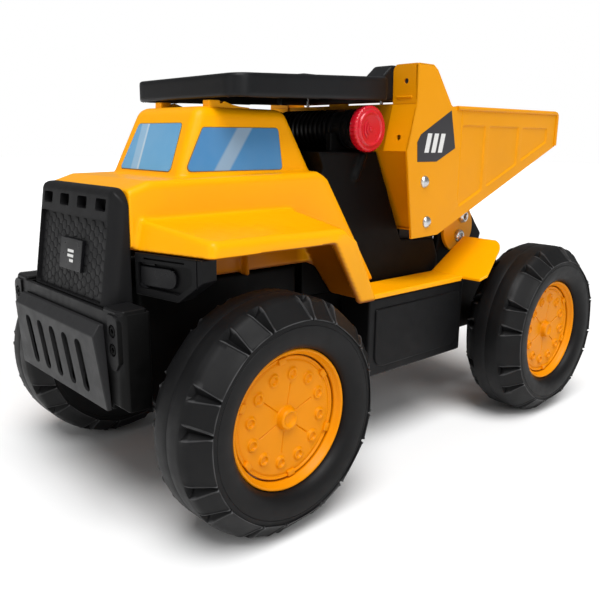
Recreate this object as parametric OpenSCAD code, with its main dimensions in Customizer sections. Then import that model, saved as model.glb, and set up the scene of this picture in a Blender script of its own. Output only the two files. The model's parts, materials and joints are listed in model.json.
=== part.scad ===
// Large push-along toy dump truck: two axles, blow-moulded tyres, a moulded cab, and a sheet-metal bed
// that tips on a hinge pin behind the cab. +X is forward, +Y is the truck's left, +Z is up. The origin is on
// the ground, at the middle of the truck's box. All sizes are in millimetres.

/* [Wheels and axles] */
// Distance between the two axles
wheelbase = 373; // [366:1:380]
// How far the middle of the wheelbase lies behind the origin
wheelbase_back = 10; // [8:1:12]
// Outside diameter of a tyre
tyre_d = 180; // [174:1:182]
// Width of a tyre over its sidewalls
tyre_w = 64; // [60:1:65]
// Distance between the middles of the left and right tyres
track = 249; // [246:1:252]
// Outside diameter of the rim, where the tyre sits
rim_d = 106; // [102:1:108]
// Diameter of the steel axle rods
axle_d = 8; // [7:0.5:9]
// Number of long and short lug pairs around a tyre
lug_pairs = 8; // [6:1:10]

/* [Cab] */
// Width of the hood and of the black body behind the cab
hood_w = 128; // [126:1:130]
// Height of the belt line, at the foot of the windows
belt_z = 260; // [258:1:262]
// Height of the roof
roof_z = 310; // [309:1:311]
// Height of the fender's lower edge
fender_z = 209; // [208:1:211]
// Half the width over the front fenders
fender_y = 130; // [126:1:132]
// Wall thickness of the moulded plastic shells
wall = 3; // [2.5:0.5:3]

/* [Canopy and bed] */
// Half the width of the canopy over the cab
canopy_y = 74; // [72:1:76]
// Width over the two side sheets of the bed
bed_w = 198; // [197:1:200]
// Thickness of the bed's sheet steel
sheet = 1.6; // [1.2:0.1:1.8]
// Height of the upright ears at the front of the bed
ear_z = 352; // [348:1:354]
// Height of the bed's side rail
rail_z = 319; // [318:1:321]

/* [Hinge and button] */
// Diameter of the bed's hinge pin
pin_d = 8; // [7:0.5:8]
// Diameter of the red push button
button_d = 40; // [36:1:40]
// How far the button can be pressed
button_travel = 3; // [2:0.5:3]
// Radial clearance of a running fit
run_gap = 0.05; // [0.03:0.01:0.08]

/* [Hidden] */
$fn = 64;

YELLOW = "#f6a80f";
BLACK = "#2c2c2e";
STEEL = "#b9bcc0";
cut = 1;             // how far a cutting solid runs past a face
gap = 0.2;           // play between neighbouring pieces of one body
front_x = wheelbase / 2 - wheelbase_back;
rear_x = -wheelbase / 2 - wheelbase_back;
axle_z = tyre_d / 2;
wheel_y = track / 2;
hood_y = hood_w / 2;
nose_x = 252;        // rear face of the grille, front end of the hood
step_z = 155;        // top of the running boards
deck_z = 152;        // top of the chassis behind the cab
skirt_z = 182;       // lower edge of the cab's inner skirt
pivot = [-143.5, 187];   // hinge pin of the bed, in X and Z
tube_x = 20;         // axis of the corrugated tube behind the cab
tube_z = 296;
bed_y = bed_w / 2;
ear_y = 71;          // inner edge of the ears, where the canopy passes between them
boss_end_y = 91;     // outer end of the axle bearings

// ---- helpers: an outline in one plane, extruded along the third axis --------------------------------
module side_prism(outline, y0, y1)
    translate([0, y1, 0]) rotate([90, 0, 0]) linear_extrude(y1 - y0) polygon(outline);
module plan_prism(outline, z0, z1) translate([0, 0, z0]) linear_extrude(z1 - z0) polygon(outline);
module front_prism(outline, x0, x1)
    translate([x0, 0, 0]) rotate([90, 0, 90]) linear_extrude(x1 - x0) polygon(outline);
module inset_side_prism(outline, inset, y0, y1)
    translate([0, y1, 0]) rotate([90, 0, 0]) linear_extrude(y1 - y0) offset(delta = -inset) polygon(outline);
module block(low, high) translate(low) cube(high - low);
module y_rod(d, y0, y1, x = 0, z = 0) translate([x, y1, z]) rotate([90, 0, 0]) cylinder(d = d, h = y1 - y0);
module on_side(side) mirror([0, side < 0 ? 1 : 0, 0]) children();
module both_sides() for (side = [1, -1]) on_side(side) children();
function arc(x, y, r, from, to, n = 8) =
    [for (i = [0 : n]) [x + r * cos(from + (to - from) * i / n), y + r * sin(from + (to - from) * i / n)]];

// ---- chassis: a black tub open below, with axle bearings and two hinge brackets ---------------------
bracket = [[-108, deck_z - 1], [-118, 198], [-134, 211], [-172, 211], [-196, 185], [-182, deck_z - 1]];
module chassis() color(BLACK) difference() {
    union() {
        difference() {
            union() {
                side_prism([[-238, 80], [-238, 140], [-226, deck_z], [97, deck_z], [97, 80]], -58, 58);
                side_prism([[97, 80], [97, skirt_z], [248, skirt_z], [248, 104], [224, 80]], -63, 63);
            }
            side_prism([[-234, 79], [-234, 138], [-224, deck_z - 4], [101, deck_z - 4], [101, 79]], -54, 54);
            side_prism([[100, 79], [101, skirt_z - 4], [244, skirt_z - 4], [244, 106], [222, 79]], -59, 59);
        }
        for (x = [front_x, rear_x]) y_rod(24, -boss_end_y, boss_end_y, x, axle_z);
        both_sides() side_prism(bracket, 46, 54);
    }
    for (x = [front_x, rear_x]) y_rod(axle_d + 2 * run_gap, -100, 100, x, axle_z);
    y_rod(pin_d + 2 * run_gap, -60, 60, pivot[0], pivot[1]);
}

// ---- black body behind the cab: slanted housing, rear panel and saddles for the tube ----------------
body_rear_top = [-4, 276];
body_rear_foot = [-44, 192];
body_outline = [[88, deck_z + gap], [88, belt_z - wall - 2], [67, belt_z - wall - 2], [64, 262], [70, 276],
    body_rear_top, body_rear_foot, [-98, 188], [-106, 170], [-106, deck_z + gap]];
module engine_body() {
    half = hood_y - wall - 0.5;
    color(BLACK) difference() {
        union() {
            side_prism(body_outline, -half, half);
            // rear panel, with two saddles that carry the tube
            block([0.2, -56, 270], [2.7, 56, 312]);
            both_sides() block([2, 40, 270], [42, 46, tube_z - 3]);
            // moulded pipe that runs down from the button
            both_sides() translate([24, half - 1, 254]) rotate([0, -26, 0]) {
                cylinder(r = 4.5, h = 23);
                sphere(r = 4.5);
            }
        }
        difference() {
            inset_side_prism(body_outline, wall, -half + wall, half - wall);
            block([-120, -half, 100], [-110, half, 300]);
        }
        block([-102, -half + wall, deck_z - cut], [84, half - wall, deck_z + wall + 2]);
        y_rod(30 + 2 * run_gap, -60, 60, tube_x, tube_z);
    }
}

// ---- side boxes below the running boards ------------------------------------------------------------
box_rear_x = -100;
module side_box(side) on_side(side) color(BLACK) difference() {
    union() {
        block([box_rear_x, hood_y, 77], [42, 99, step_z - 5 - gap]);
        // raised panel on the outer face
        block([box_rear_x + 6, 98, 84], [36, 101, 140]);
    }
    block([box_rear_x + wall, hood_y + wall, 77 - cut], [42 - wall, 99 - wall, 140]);
}
module side_box_left() side_box(1);
module side_box_right() side_box(-1);

// ---- yellow running board, with the rear mudguard that slopes up from it ----------------------------
guard_foot = [-92, step_z];
guard_top = [-146, 187];
module step_plate(side) on_side(side) color(YELLOW) {
    difference() {
        union() {
            block([guard_foot[0], hood_y + gap, step_z - 3], [47, 102, step_z]);
            block([guard_foot[0], 99 + gap, step_z - 5], [47, 102, step_z]);
            intersection() {
                side_prism([guard_foot, guard_top, guard_top - [0, 3], guard_foot - [0, 3]],
                    hood_y + gap, 127);
                plan_prism(concat([[-80, hood_y], [guard_top[0] - 1, hood_y]],
                    arc(guard_top[0] + 19, 98, 20, 180, 100), [[-99, 127], [-80, 116]]), 140, 200);
            }
        }
        // relief for the foot of the leg
        block([47, 90, 140], [90, 120, 160]);
    }
}
module step_left() step_plate(1);
module step_right() step_plate(-1);

// ---- cab: hood, greenhouse, fenders, legs and skirts in one yellow shell ----------------------------
panel_foot_x = -6;   // rear foot of the cab's inner side panel
hood_outline = [[nose_x, fender_z], [nose_x - 2, belt_z - 9], [235, belt_z - 3], [72, belt_z],
    [62, belt_z - 4], [panel_foot_x, step_z + gap], [20, step_z + gap], [84, skirt_z],
    [236, skirt_z], [240, fender_z]];
function cabin_side(t) = [[206 - t, belt_z - 6], [183.5 - t, 305 - t * 0.5], [179 - t, roof_z - t],
    [97, roof_z - t], [92 + t, 306 - t], [66 + t, belt_z - 6]];
function cabin_front(t) = [[-53 + t, belt_z - 7], [-46 + t, 304 - t], [-40 + t, roof_z - t],
    [40 - t, roof_z - t], [46 - t, 304 - t], [53 - t, belt_z - 7]];
module cabin(t) intersection() {
    side_prism(cabin_side(t), -70, 70);
    front_prism(cabin_front(t), 0, 300);
}
fender_rise = 24;    // height of the fender's top above its lower edge, at the hood
module fender(t) intersection() {
    plan_prism([[nose_x - t, hood_y - 20], [nose_x - t, hood_y], [232 - t * 1.2, fender_y - t],
        [104 + t, fender_y - 3 - t], [104 + t, hood_y - 20]], fender_z - (t > 0 ? cut : 0), 240);
    front_prism([[hood_y - 20, fender_z - cut], [hood_y - 20, fender_z + fender_rise - t],
        [hood_y, fender_z + fender_rise - t], [fender_y, fender_z + 11 - t], [fender_y, fender_z - cut]],
        0, 300);
}
leg_outline = [[50, step_z - 3], [79, step_z - 3], [109, fender_z], [130, fender_z], [130, 226], [104, 231]];
module leg() intersection() {
    side_prism(leg_outline, hood_y - wall, 140);
    front_prism([[hood_y - wall, step_z - 3], [112, step_z - 3], [fender_y - 3, fender_z],
        [fender_y - 3, fender_z + 10.5], [hood_y - wall, fender_z + fender_rise - 1]], 0, 200);
}
window_outline = [[179, 293.5], [105, 294.5], [104, belt_z + 1.5], [197.5, belt_z + 1.5]];
windshield_outline = [[-31.5, 297], [31.5, 297], [37.5, belt_z + 1.5], [-37.5, belt_z + 1.5]];
module cab_body() color(YELLOW) {
    difference() {
        union() {
            side_prism(hood_outline, -hood_y, hood_y);
            cabin(0);
            both_sides() fender(0);
        }
        inset_side_prism(hood_outline, wall, -hood_y + wall, hood_y - wall);
        // open below and at the back, where the black body passes through
        block([-20, -hood_y + wall, 100], [88.5, hood_y - wall, belt_z - wall - 1.5]);
        block([50, -hood_y + wall, belt_z - 10], [68, hood_y - wall, belt_z]);
        block([80, -hood_y + wall, 100], [nose_x - wall, hood_y - wall, belt_z - 14]);
        cabin(wall);
        block([60, -43, belt_z - 8], [100, 43, 276.5]);
        both_sides() difference() {
            fender(wall);
            block([0, 0, 0], [300, hood_y, 300]);
        }
        both_sides() side_prism(window_outline, 36, 60);
        front_prism(windshield_outline, 150, 230);
        // front opening behind the grille
        block([nose_x - 6, -50, 214], [nose_x + cut, 50, 244]);
    }
    both_sides() difference() {
        leg();
        translate([5, -wall, -0.01]) leg();
        block([0, 0, 0], [300, hood_y, 300]);
    }
    // ribs under the fender
    both_sides() for (x = [140, 200])
        block([x, hood_y - 0.5, skirt_z - 1], [x + 3, hood_y + 8, 228]);
    // posts that carry the front of the canopy, each with a low ridge running back over the roof
    both_sides() side_prism([[112, roof_z - wall], [112, roof_z + 0.3], [140, roof_z + 1.5],
        [153, roof_z + 3.5], [156, canopy_low_z - 0.4], [167, canopy_low_z - 0.4],
        [169, roof_z - wall]], 30, 40);
}
module windshield() color("#6fa9d8") intersection() {
    front_prism([for (p = windshield_outline) [p[0] - sign(p[0]) * gap, p[1] + (p[1] > 280 ? -gap : gap)]],
        150, 230);
    side_prism([[205.2, belt_z - 6], [182.7, 305], [180.7, 305], [203.2, belt_z - 6]], -60, 60);
}
module side_window(side) on_side(side) color("#6fa9d8") intersection() {
    inset_side_prism(window_outline, gap, 30, 70);
    front_prism([[52.2, belt_z - 7], [45.2, 304], [43.2, 304], [50.2, belt_z - 7]], 0, 300);
}
module side_window_left() side_window(1);
module side_window_right() side_window(-1);

// ---- grille block, leaning back, with four slots and a recessed panel -------------------------------
grille_lean = 8.5;
grille_foot = nose_x + 21.5;
panel_deep = 2.5;    // depth of the sunk panel in the grille's face
module rounded_plan(depth, half, r, z0, z1) plan_prism(concat([[0, -half]],
    arc(depth - r, r - half, r, -90, 0), arc(depth - r, half - r, r, 0, 90), [[0, half]]), z0, z1);
module grille() color(BLACK) difference() {
    intersection() {
        translate([grille_foot, 0, 170]) rotate([0, -grille_lean, 0]) translate([-40, 0, 0])
            rounded_plan(40, hood_y - 0.5, 14, -10, 100);
        side_prism([[nose_x + gap, 170.5], [275, 170.5], [275, 240], [262, 252.5], [nose_x + gap, 252.5]],
            -80, 80);
    }
    // hollow behind the face
    translate([grille_foot - wall - panel_deep, 0, 170]) rotate([0, -grille_lean, 0])
        translate([-40, 0, 0]) rounded_plan(40, hood_y - 0.5 - wall, 11, 0, 76);
    for (y = [-43.5, -14.5, 14.5, 43.5]) block([nose_x, y - 7.5, 236], [275, y + 7.5, 244.5]);
    translate([grille_foot - panel_deep, 0, 170]) rotate([0, -grille_lean, 0])
        block([0, -55.5, 3], [12, 55.5, 61]);
}
module grille_badge() color("#3a3a3c") translate([grille_foot + 0.1 - panel_deep, 0, 170])
    rotate([0, -grille_lean, 0]) block([0, -16, 20], [2.6, 20, 43.5]);

// ---- bumper, skid plate and bolts -------------------------------------------------------------------
bumper_x = 277;
bumper_y = 90;
bolt_y = 81.5;
bolt_z = [147.5, 160.5];
bumper_low = 103;
module front_bumper() color(BLACK) difference() {
    union() {
        difference() {
            block([nose_x + 2, -bumper_y, bumper_low], [bumper_x, bumper_y, 172]);
            // room for the foot of the grille
            block([nose_x, -hood_y, 169], [nose_x + 22, hood_y, 180]);
        }
        // ledge that the bumper hangs from, on the front of the chassis
        block([248.2, -50, 120], [nose_x + 3, 50, 160]);
    }
    difference() {
        block([nose_x + cut, wall - bumper_y, bumper_low - cut],
            [bumper_x - wall, bumper_y - wall, 169 - wall]);
        block([nose_x, -50, 117], [nose_x + 5, 50, 163]);
    }
    both_sides() for (z = bolt_z)
        translate([bumper_x - 10, bolt_y, z]) rotate([0, 90, 0]) cylinder(d = 4, h = 20);
}
plate_low = [281, 102];
plate_top = [286.5, 155];
module skid_plate() color(BLACK) difference() {
    intersection() {
        side_prism([[bumper_x + gap, plate_low[1]], plate_low, plate_top, [280, 161.5],
            [bumper_x + gap, 161.5]], -80, 80);
        front_prism([[-74, 102], [-67.5, 162], [67.5, 162], [74, 102]], 260, 300);
    }
    side_prism([[bumper_x - cut, 102 - cut], [bumper_x - cut, 146], [282.5, 146], [278.5, 102 - cut]],
        -66, 66);
    for (y = [-44, -22, 0, 22, 44]) {
        block([275, y - 3.5, 112], [290, y + 3.5, 144]);
        for (z = [112, 144]) translate([275, y, z]) rotate([0, 90, 0]) cylinder(r = 3.5, h = 15);
    }
}
module bumper_bolts() color(BLACK) both_sides() for (z = bolt_z)
    translate([bumper_x, bolt_y, z]) rotate([0, 90, 0]) {
        translate([0, 0, gap / 2]) cylinder(d = 9, h = 2.5, $fn = 6);
        translate([0, 0, -8]) cylinder(d = 3.9, h = 9);
    }

// ---- headlight housings under the front of the fenders ----------------------------------------------
lamp_plan = [[nose_x - 1.5, hood_y + gap], [234.5, 124], [219, 124], [nose_x - 17, hood_y + gap]];
lamp_front = [[hood_y, 179], [hood_y, fender_z - gap], [124, fender_z - gap], [124, 193], [103, 177.5]];
lens_front = concat([[hood_y + 6, 183.5], [hood_y + 6, 203]], arc(106, 196, 7, 90, -50));
// Slice of the housing parallel to its slanted face, from a depth of low to a depth of high behind the face
module lamp_slice(low, high, outline) intersection() {
    plan_prism([[nose_x - 1.5 - low, hood_y], [234.5 - low, 124], [234.5 - high, 124],
        [nose_x - 1.5 - high, hood_y]], 170, 215);
    front_prism(outline, 200, 280);
}
module headlight(side) on_side(side) color(BLACK) difference() {
    intersection() {
        plan_prism(lamp_plan, 170, 215);
        front_prism(lamp_front, 200, 280);
    }
    lamp_slice(4, -10, lens_front);
}
module headlight_left() headlight(1);
module headlight_right() headlight(-1);
module lamp_lens(side) on_side(side) color("#38383b") lamp_slice(3.9, 1.6,
    [for (p = lens_front) [p[0] + (p[0] < 80 ? gap : -gap), p[1] + (p[1] > 196 ? -gap : gap)]]);
module lamp_lens_left() lamp_lens(1);
module lamp_lens_right() lamp_lens(-1);

// ---- corrugated tube across the back of the cab, with its push button -------------------------------
tube_half = 59;
rib_pitch = 6;
module air_tube() color(BLACK) translate([tube_x, 0, tube_z]) rotate([-90, 0, 0]) difference() {
    union() {
        translate([0, 0, -tube_half]) cylinder(r = 15, h = 2 * tube_half);
        // no ribs where the tube lies in its two saddles
        for (z = [-tube_half : rib_pitch : tube_half - 2])
            if (abs(z + 1.2) < 38.5 || abs(z + 1.2) > 47.5) translate([0, 0, z]) cylinder(r = 17, h = 2.4);
    }
    translate([0, 0, -tube_half - cut]) cylinder(r = 12.5, h = 2 * tube_half + cut - 8);
    cylinder(d = 10 + 2 * run_gap, h = 80);
}
module tube_end_cap() color(BLACK) translate([tube_x, -tube_half - gap, tube_z]) rotate([90, 0, 0]) {
    cylinder(r = 17.5, h = 6);
    translate([0, 0, 6]) cylinder(r = 12, h = 1.5);
}
button_face_y = 74;
button_back = 64;    // rear edge of the button's skirt
module push_button() color("#d3263a") translate([tube_x, 0, tube_z]) rotate([-90, 0, 0]) {
    difference() {
        union() {
            translate([0, 0, button_back]) cylinder(d = button_d, h = button_face_y - button_back - 2);
            translate([0, 0, button_face_y - 2]) cylinder(d1 = button_d, d2 = button_d - 4, h = 2);
            translate([0, 0, button_face_y]) cylinder(d = button_d - 11, h = 1.2);
        }
        translate([0, 0, button_back - cut])
            cylinder(d = button_d - 5, h = button_face_y - button_back - 3 + cut);
        // grip grooves around the rim
        for (a = [0 : 12 : 359]) rotate(a)
            translate([button_d / 2 + 0.4, 0, button_back - cut]) cylinder(r = 1, h = 8, $fn = 16);
    }
    translate([0, 0, 42]) cylinder(d = 10, h = button_face_y - 42 - 2.5);
}
// Spring between the tube's end and the button, at its pressed length
spring_turns = 3;
spring_r = 10;
wire_r = 0.7;
function spring_ring(i, n) = let (a = 360 * spring_turns * i / n, h = 0.8 + 5.4 * i / n)
    [for (k = [0 : 7]) let (b = 45 * k, r = spring_r + wire_r * cos(b))
        [r * cos(a), r * sin(a), h + wire_r * sin(b)]];
module button_spring() {
    n = 24 * spring_turns;
    points = [for (i = [0 : n]) each spring_ring(i, n)];
    faces = concat([[for (k = [0 : 7]) k]], [[for (k = [7 : -1 : 0]) n * 8 + k]],
        [for (i = [0 : n - 1], k = [0 : 7])
            [i * 8 + k, (i + 1) * 8 + k, (i + 1) * 8 + (k + 1) % 8, i * 8 + (k + 1) % 8]]);
    color(STEEL) translate([tube_x, tube_half, tube_z]) rotate([-90, 0, 0]) polyhedron(points, faces);
}
module button_switch() color("#33363a") translate([tube_x, 0, tube_z]) {
    block([-7, 14, -5], [7, 32, 5]);
    y_rod(5, 32, 42 - button_travel - gap);
}

// ---- canopy over the cab, carried by the bed --------------------------------------------------------
canopy_front_x = 168.5;
canopy_rear_x = -40;
canopy_low_z = 315.5;    // lower edge at the front
canopy_slope = 0.028;    // the canopy rises towards the bed
function canopy_low(x) = canopy_low_z + (canopy_front_x - x) * canopy_slope;
// Plan of the canopy, t inside its edge: rounded in front, narrower where it passes between the ears
function canopy_half_plan(t) = concat(
    [[canopy_rear_x + t, ear_y - 1.5 - t], [t - 1, ear_y - 1.5 - t], [t - 1, canopy_y - t]],
    arc(canopy_front_x - 16, canopy_y - 16, 16 - t, 90, 0, 6));
function mirrored(outline) = [for (i = [len(outline) - 1 : -1 : 0]) [outline[i][0], -outline[i][1]]];
module canopy_plan(t) plan_prism(concat(canopy_half_plan(t), mirrored(canopy_half_plan(t))), 300, 360);
module canopy() color(BLACK) {
    difference() {
        intersection() {
            canopy_plan(0);
            union() {
                side_prism([[canopy_front_x, canopy_low_z], [canopy_rear_x, canopy_low(canopy_rear_x)],
                    [canopy_rear_x, 341], [-1, 341], [canopy_front_x, 333]], -100, 100);
                // raised shoulders beside the ears
                both_sides() side_prism([[canopy_rear_x, 335], [canopy_rear_x, ear_z - 6], [-34, ear_z],
                    [-11, ear_z], [3, 340], [3, 335]], 47, 100);
            }
        }
        intersection() {
            canopy_plan(2.5);
            side_prism([[canopy_front_x, 310], [canopy_rear_x, 310], [canopy_rear_x, 340],
                [canopy_front_x, 330.5]], -100, 100);
        }
    }
    // feet that rest on the two posts of the roof
    both_sides() translate([161, 35, canopy_low_z + 0.3]) cylinder(r = 5.5, h = 16);
    // bosses for the two rear screws
    both_sides() translate([-20, 50, headboard_z + 0.2]) difference() {
        cylinder(r = 5, h = 22);
        translate([0, 0, -cut]) cylinder(r = 1.6, h = 13);
    }
}
module canopy_screws() color(STEEL) both_sides() translate([-20, 50, headboard_z - sheet]) {
    translate([0, 0, -3]) cylinder(d1 = 4, d2 = 7, h = 3);
    cylinder(r = 1.5, h = 12);
}

// ---- bed: two side sheets with ears, headboard, sloping floor and hinge lugs ------------------------
ramp = [[-52, 201.3], [-261, 283.5]];
function ramp_z(x) = ramp[0][1] + (ramp[1][1] - ramp[0][1]) * (x - ramp[0][0]) / (ramp[1][0] - ramp[0][0]);
ear_fold = [[-10, ear_z], [-11, 318], [0, 277]];
side_outline = [[-12, 199], [-51, 199.5], [-262, 282.5], [-262, 313], [-257, rail_z + 1.5],
    [-72, rail_z - 0.5], [-63, rail_z - 2], [-39, ear_z - 4], [-32, ear_z], ear_fold[0], ear_fold[1],
    ear_fold[2]];
// One pressed panel between the ribs at a and b
function pressed_panel(a, b) = [[a - 3, 302], [b + 3, 302], [b + 3, ramp_z(b) + 10], [a - 3, ramp_z(a) + 10]];
panel_x = [-78, -124, -186, -244];
ear_hole_y = 86;
module bed_side(side) on_side(side) color(YELLOW) {
    difference() {
        union() {
            side_prism(side_outline, bed_y - sheet, bed_y);
            // folded front flange of the ear
            side_prism([ear_fold[0], ear_fold[1], ear_fold[2], ear_fold[2] - [sheet, 0.5],
                ear_fold[1] - [sheet, 0], ear_fold[0] - [sheet, 0]], ear_y, bed_y);
            block([-31, ear_y, ear_z - sheet], [-10, bed_y, ear_z]);
            // rolled rail along the top and down the rear edge
            side_prism([[-257, rail_z + 1.5], [-72, rail_z - 0.5], [-72, rail_z - 3.5], [-256, rail_z - 1.5]],
                bed_y - 0.5, bed_y + 2.5);
            side_prism([[-262, 284], [-262, 313], [-259, 313], [-259, 283]], bed_y - 0.5, bed_y + 2.5);
            // lip down the lower front edge
            side_prism([ear_fold[2], ear_fold[2] - [sheet, 0], [-12 - sheet, 199], [-12, 199]],
                bed_y - 7, bed_y);
        }
        for (z = [289, 337.5]) translate([-30, ear_hole_y, z]) rotate([0, 90, 0]) cylinder(d = 5, h = 40);
        // three pressed panels between the ribs
        for (i = [0 : 2]) side_prism(pressed_panel(panel_x[i], panel_x[i + 1]), bed_y - 0.6, bed_y + 0.4);
    }
}
module bed_side_left() bed_side(1);
module bed_side_right() bed_side(-1);
headboard_z = 318.5;
head_bend = [-7, 277];
head_foot = [-48, 203.2];
module headboard() color(YELLOW) {
    half = bed_y - sheet - 0.1;
    side_prism([[-13, headboard_z], head_bend, head_foot, head_foot - [1.9, 0], head_bend - [1.9, 0],
        [-13 - sheet, headboard_z]], -half, half);
    // top flange for the canopy's screws, and the middle tab
    difference() {
        block([-27, -62, headboard_z - sheet], [-13, 62, headboard_z]);
        both_sides() translate([-20, 50, 300]) cylinder(r = 1.6, h = 30);
    }
    block([-16, -12, headboard_z - 2], [-13, 12, canopy_low(-13) - 0.3]);
}
module bed_floor() color(YELLOW) {
    half = bed_y - sheet - 0.1;
    side_prism([[-46, 201.3], ramp[0], ramp[1], ramp[1] + [0, 1.7], ramp[0] + [0, 1.7], [-46, 203]],
        -half, half);
}
module hinge_lug(side) on_side(side) color(YELLOW) difference() {
    union() {
        y_rod(52, 55.2, 59, pivot[0] + 0.5, pivot[1] + 9);
        side_prism([[-160, 205], [-162, ramp_z(-162) - 0.1], [-122, ramp_z(-122) - 0.1], [-124, 205]],
            55.2, 59);
    }
    y_rod(pin_d + 2 * run_gap, 50, 60, pivot[0], pivot[1]);
}
module hinge_lug_left() hinge_lug(1);
module hinge_lug_right() hinge_lug(-1);
// Domed rivets: two on each side sheet and one on each lug
module rivet(x, y, z, d) translate([x, y, z]) rotate([-90, 0, 0]) intersection() {
    cylinder(d = d, h = 3);
    translate([0, 0, 2.4 - d]) sphere(r = d);
}
module bed_rivets() color(STEEL) both_sides() {
    rivet(-27, bed_y, 250, 9);
    rivet(-33, bed_y, 213, 9);
    rivet(-149, 59, 207.5, 13);
}
module decal(side) on_side(side) color("#39383a")
    side_prism([[-62, 314], [-71, 280], [-43, 268], [-15, 268], [-13.5, 285], [-18.5, 292]],
        bed_y, bed_y + 0.3);
module decal_left() decal(1);
module decal_right() decal(-1);

// ---- hinge pin, its caps, and the pads the bed rests on ---------------------------------------------
module hinge_pin() color(STEEL) y_rod(pin_d, -61, 61, pivot[0], pivot[1]);
module pin_caps() color(STEEL) both_sides()
    translate([pivot[0], 59.3, pivot[1]]) rotate([-90, 0, 0]) difference() {
        union() {
            cylinder(r = 6.5, h = 2);
            translate([0, 0, 1]) cylinder(r = 5, h = 3);
        }
        translate([0, 0, -cut]) cylinder(d = pin_d, h = 1.7 + cut);
    }
module bed_rest_pads() color("#1d1d1d") both_sides()
    side_prism([[-105.5, 171.4], [-105.5, ramp_z(-105.5) - 0.1], ramp[0] - [0, 0.1], [-50, ramp[0][1] - 0.1],
        [-50, 191.65], [-98, 188.1]], 40, 54);

// ---- axles, washers and push nuts -------------------------------------------------------------------
axle_half = wheel_y + 6;
module axle_front() color(STEEL) y_rod(axle_d, -axle_half, axle_half, front_x, axle_z);
module axle_rear() color(STEEL) y_rod(axle_d, -axle_half, axle_half, rear_x, axle_z);
module axle_ring(y, d, h) for (x = [front_x, rear_x]) both_sides()
    translate([x, y, axle_z]) rotate([-90, 0, 0]) difference() {
        cylinder(d = d, h = h);
        translate([0, 0, -cut]) cylinder(d = axle_d + 2 * run_gap, h = h + 2 * cut);
    }
module axle_washers() color(STEEL) axle_ring(boss_end_y + 0.3, 18, 1.5);
module axle_nuts() color(STEEL) axle_ring(wheel_y + 1, 13.5, 2);

// ---- wheels: drawn with the axle along Z, outer side up ---------------------------------------------
tyre_r = tyre_d / 2;
tyre_half = tyre_w / 2;
rim_r = rim_d / 2;
shoulder_r = tyre_r - 16;
crown_half = 20.5;
// Outline of one side of a tyre, from the bead out to the middle of the crown
function tyre_side(s) = [[rim_r + 0.4, s * (tyre_half - 8)], [rim_r + 4, s * (tyre_half - 3)],
    [rim_r + 10, s * (tyre_half - 0.5)], [shoulder_r - 4, s * tyre_half], [shoulder_r, s * (tyre_half - 0.8)],
    [tyre_r - 1.2, s * crown_half], [tyre_r, s * (crown_half - 4)], [tyre_r, s * 2]];
lug_at = [9, 26];    // angles of the long and the short notch of each pair, in degrees
module wheel_at(x, side) on_side(side) translate([x, wheel_y, axle_z]) rotate([-90, 0, 0]) children();
module tyre() color(BLACK) difference() {
    rotate_extrude($fn = 96) difference() {
        polygon(concat(tyre_side(1), [[tyre_r - 1.2, 0]], [for (i = [7 : -1 : 0]) tyre_side(-1)[i]]));
        polygon([[rim_r + 4, 20], [rim_r + 10, 26], [rim_r + 17, 26], [tyre_r - 10, 14], [tyre_r - 8, 8],
            [tyre_r - 8, -8], [tyre_r - 10, -14], [rim_r + 17, -26], [rim_r + 10, -26], [rim_r + 4, -20]]);
    }
    for (k = [0 : lug_pairs - 1], start = lug_at, s = [1, -1])
        rotate(-(k * 360 / lug_pairs + start)) rotate([90, 0, 0]) translate([0, 0, -2.5]) linear_extrude(5)
            polygon([[shoulder_r + 1, s * (tyre_half + 1)], [shoulder_r, s * (tyre_half - 3)],
                [tyre_r - 6, s * (crown_half - 1)], [tyre_r + 1, s * (crown_half - 9)],
                [tyre_r + 1, s * (tyre_half + 1)]]);
}
disc_y = 16.5;       // outer face of the wheel disc, from the wheel's middle
disc_r = rim_r - 6.8;
module rim() color(YELLOW) rotate_extrude($fn = 96) polygon([[rim_r - 2.5, -23], [rim_r, -23],
    [rim_r, 22.5], [rim_r - 1.5, 22.5], [disc_r + 0.5, disc_y + 1.5], [disc_r + 0.5, disc_y - 8],
    [disc_r + 2.3, disc_y - 8], [disc_r + 2.3, disc_y], [rim_r - 2.5, disc_y + 2.5]]);
module wheel_disc() color(YELLOW) {
    difference() {
        union() {
            translate([0, 0, disc_y - 3]) cylinder(r = disc_r, h = 3);
            translate([0, 0, -31]) cylinder(r = 9, h = 31 + disc_y);
            translate([0, 0, disc_y - 1]) cylinder(r1 = 10, r2 = 6, h = 6);
            translate([0, 0, -3]) cylinder(r = 13, h = 6);
        }
        translate([0, 0, -32]) cylinder(d = axle_d + 2 * run_gap, h = 40);
        translate([0, 0, 0.5]) cylinder(r = 7.2, h = 8);
    }
    // twelve round bosses, six thin ribs from the hub, and a skirt behind the disc's edge
    for (k = [0 : 11]) rotate(30 * k + 9)
        translate([rim_r * 0.63, 0, disc_y - 0.5]) cylinder(r = 4.5, h = 3, $fn = 32);
    for (k = [0 : 5]) rotate(60 * k) translate([0, -0.6, disc_y - 0.5]) cube([rim_r * 0.5, 1.2, 1.3]);
    difference() {
        translate([0, 0, disc_y - 8]) cylinder(r = disc_r, h = 6);
        translate([0, 0, disc_y - 9]) cylinder(r = disc_r - 2.2, h = 8);
    }
}
module tyre_front_left() wheel_at(front_x, 1) tyre();
module tyre_front_right() wheel_at(front_x, -1) tyre();
module tyre_rear_left() wheel_at(rear_x, 1) tyre();
module tyre_rear_right() wheel_at(rear_x, -1) tyre();
module rim_front_left() wheel_at(front_x, 1) rim();
module rim_front_right() wheel_at(front_x, -1) rim();
module rim_rear_left() wheel_at(rear_x, 1) rim();
module rim_rear_right() wheel_at(rear_x, -1) rim();
module disc_front_left() wheel_at(front_x, 1) wheel_disc();
module disc_front_right() wheel_at(front_x, -1) wheel_disc();
module disc_rear_left() wheel_at(rear_x, 1) wheel_disc();
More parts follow.
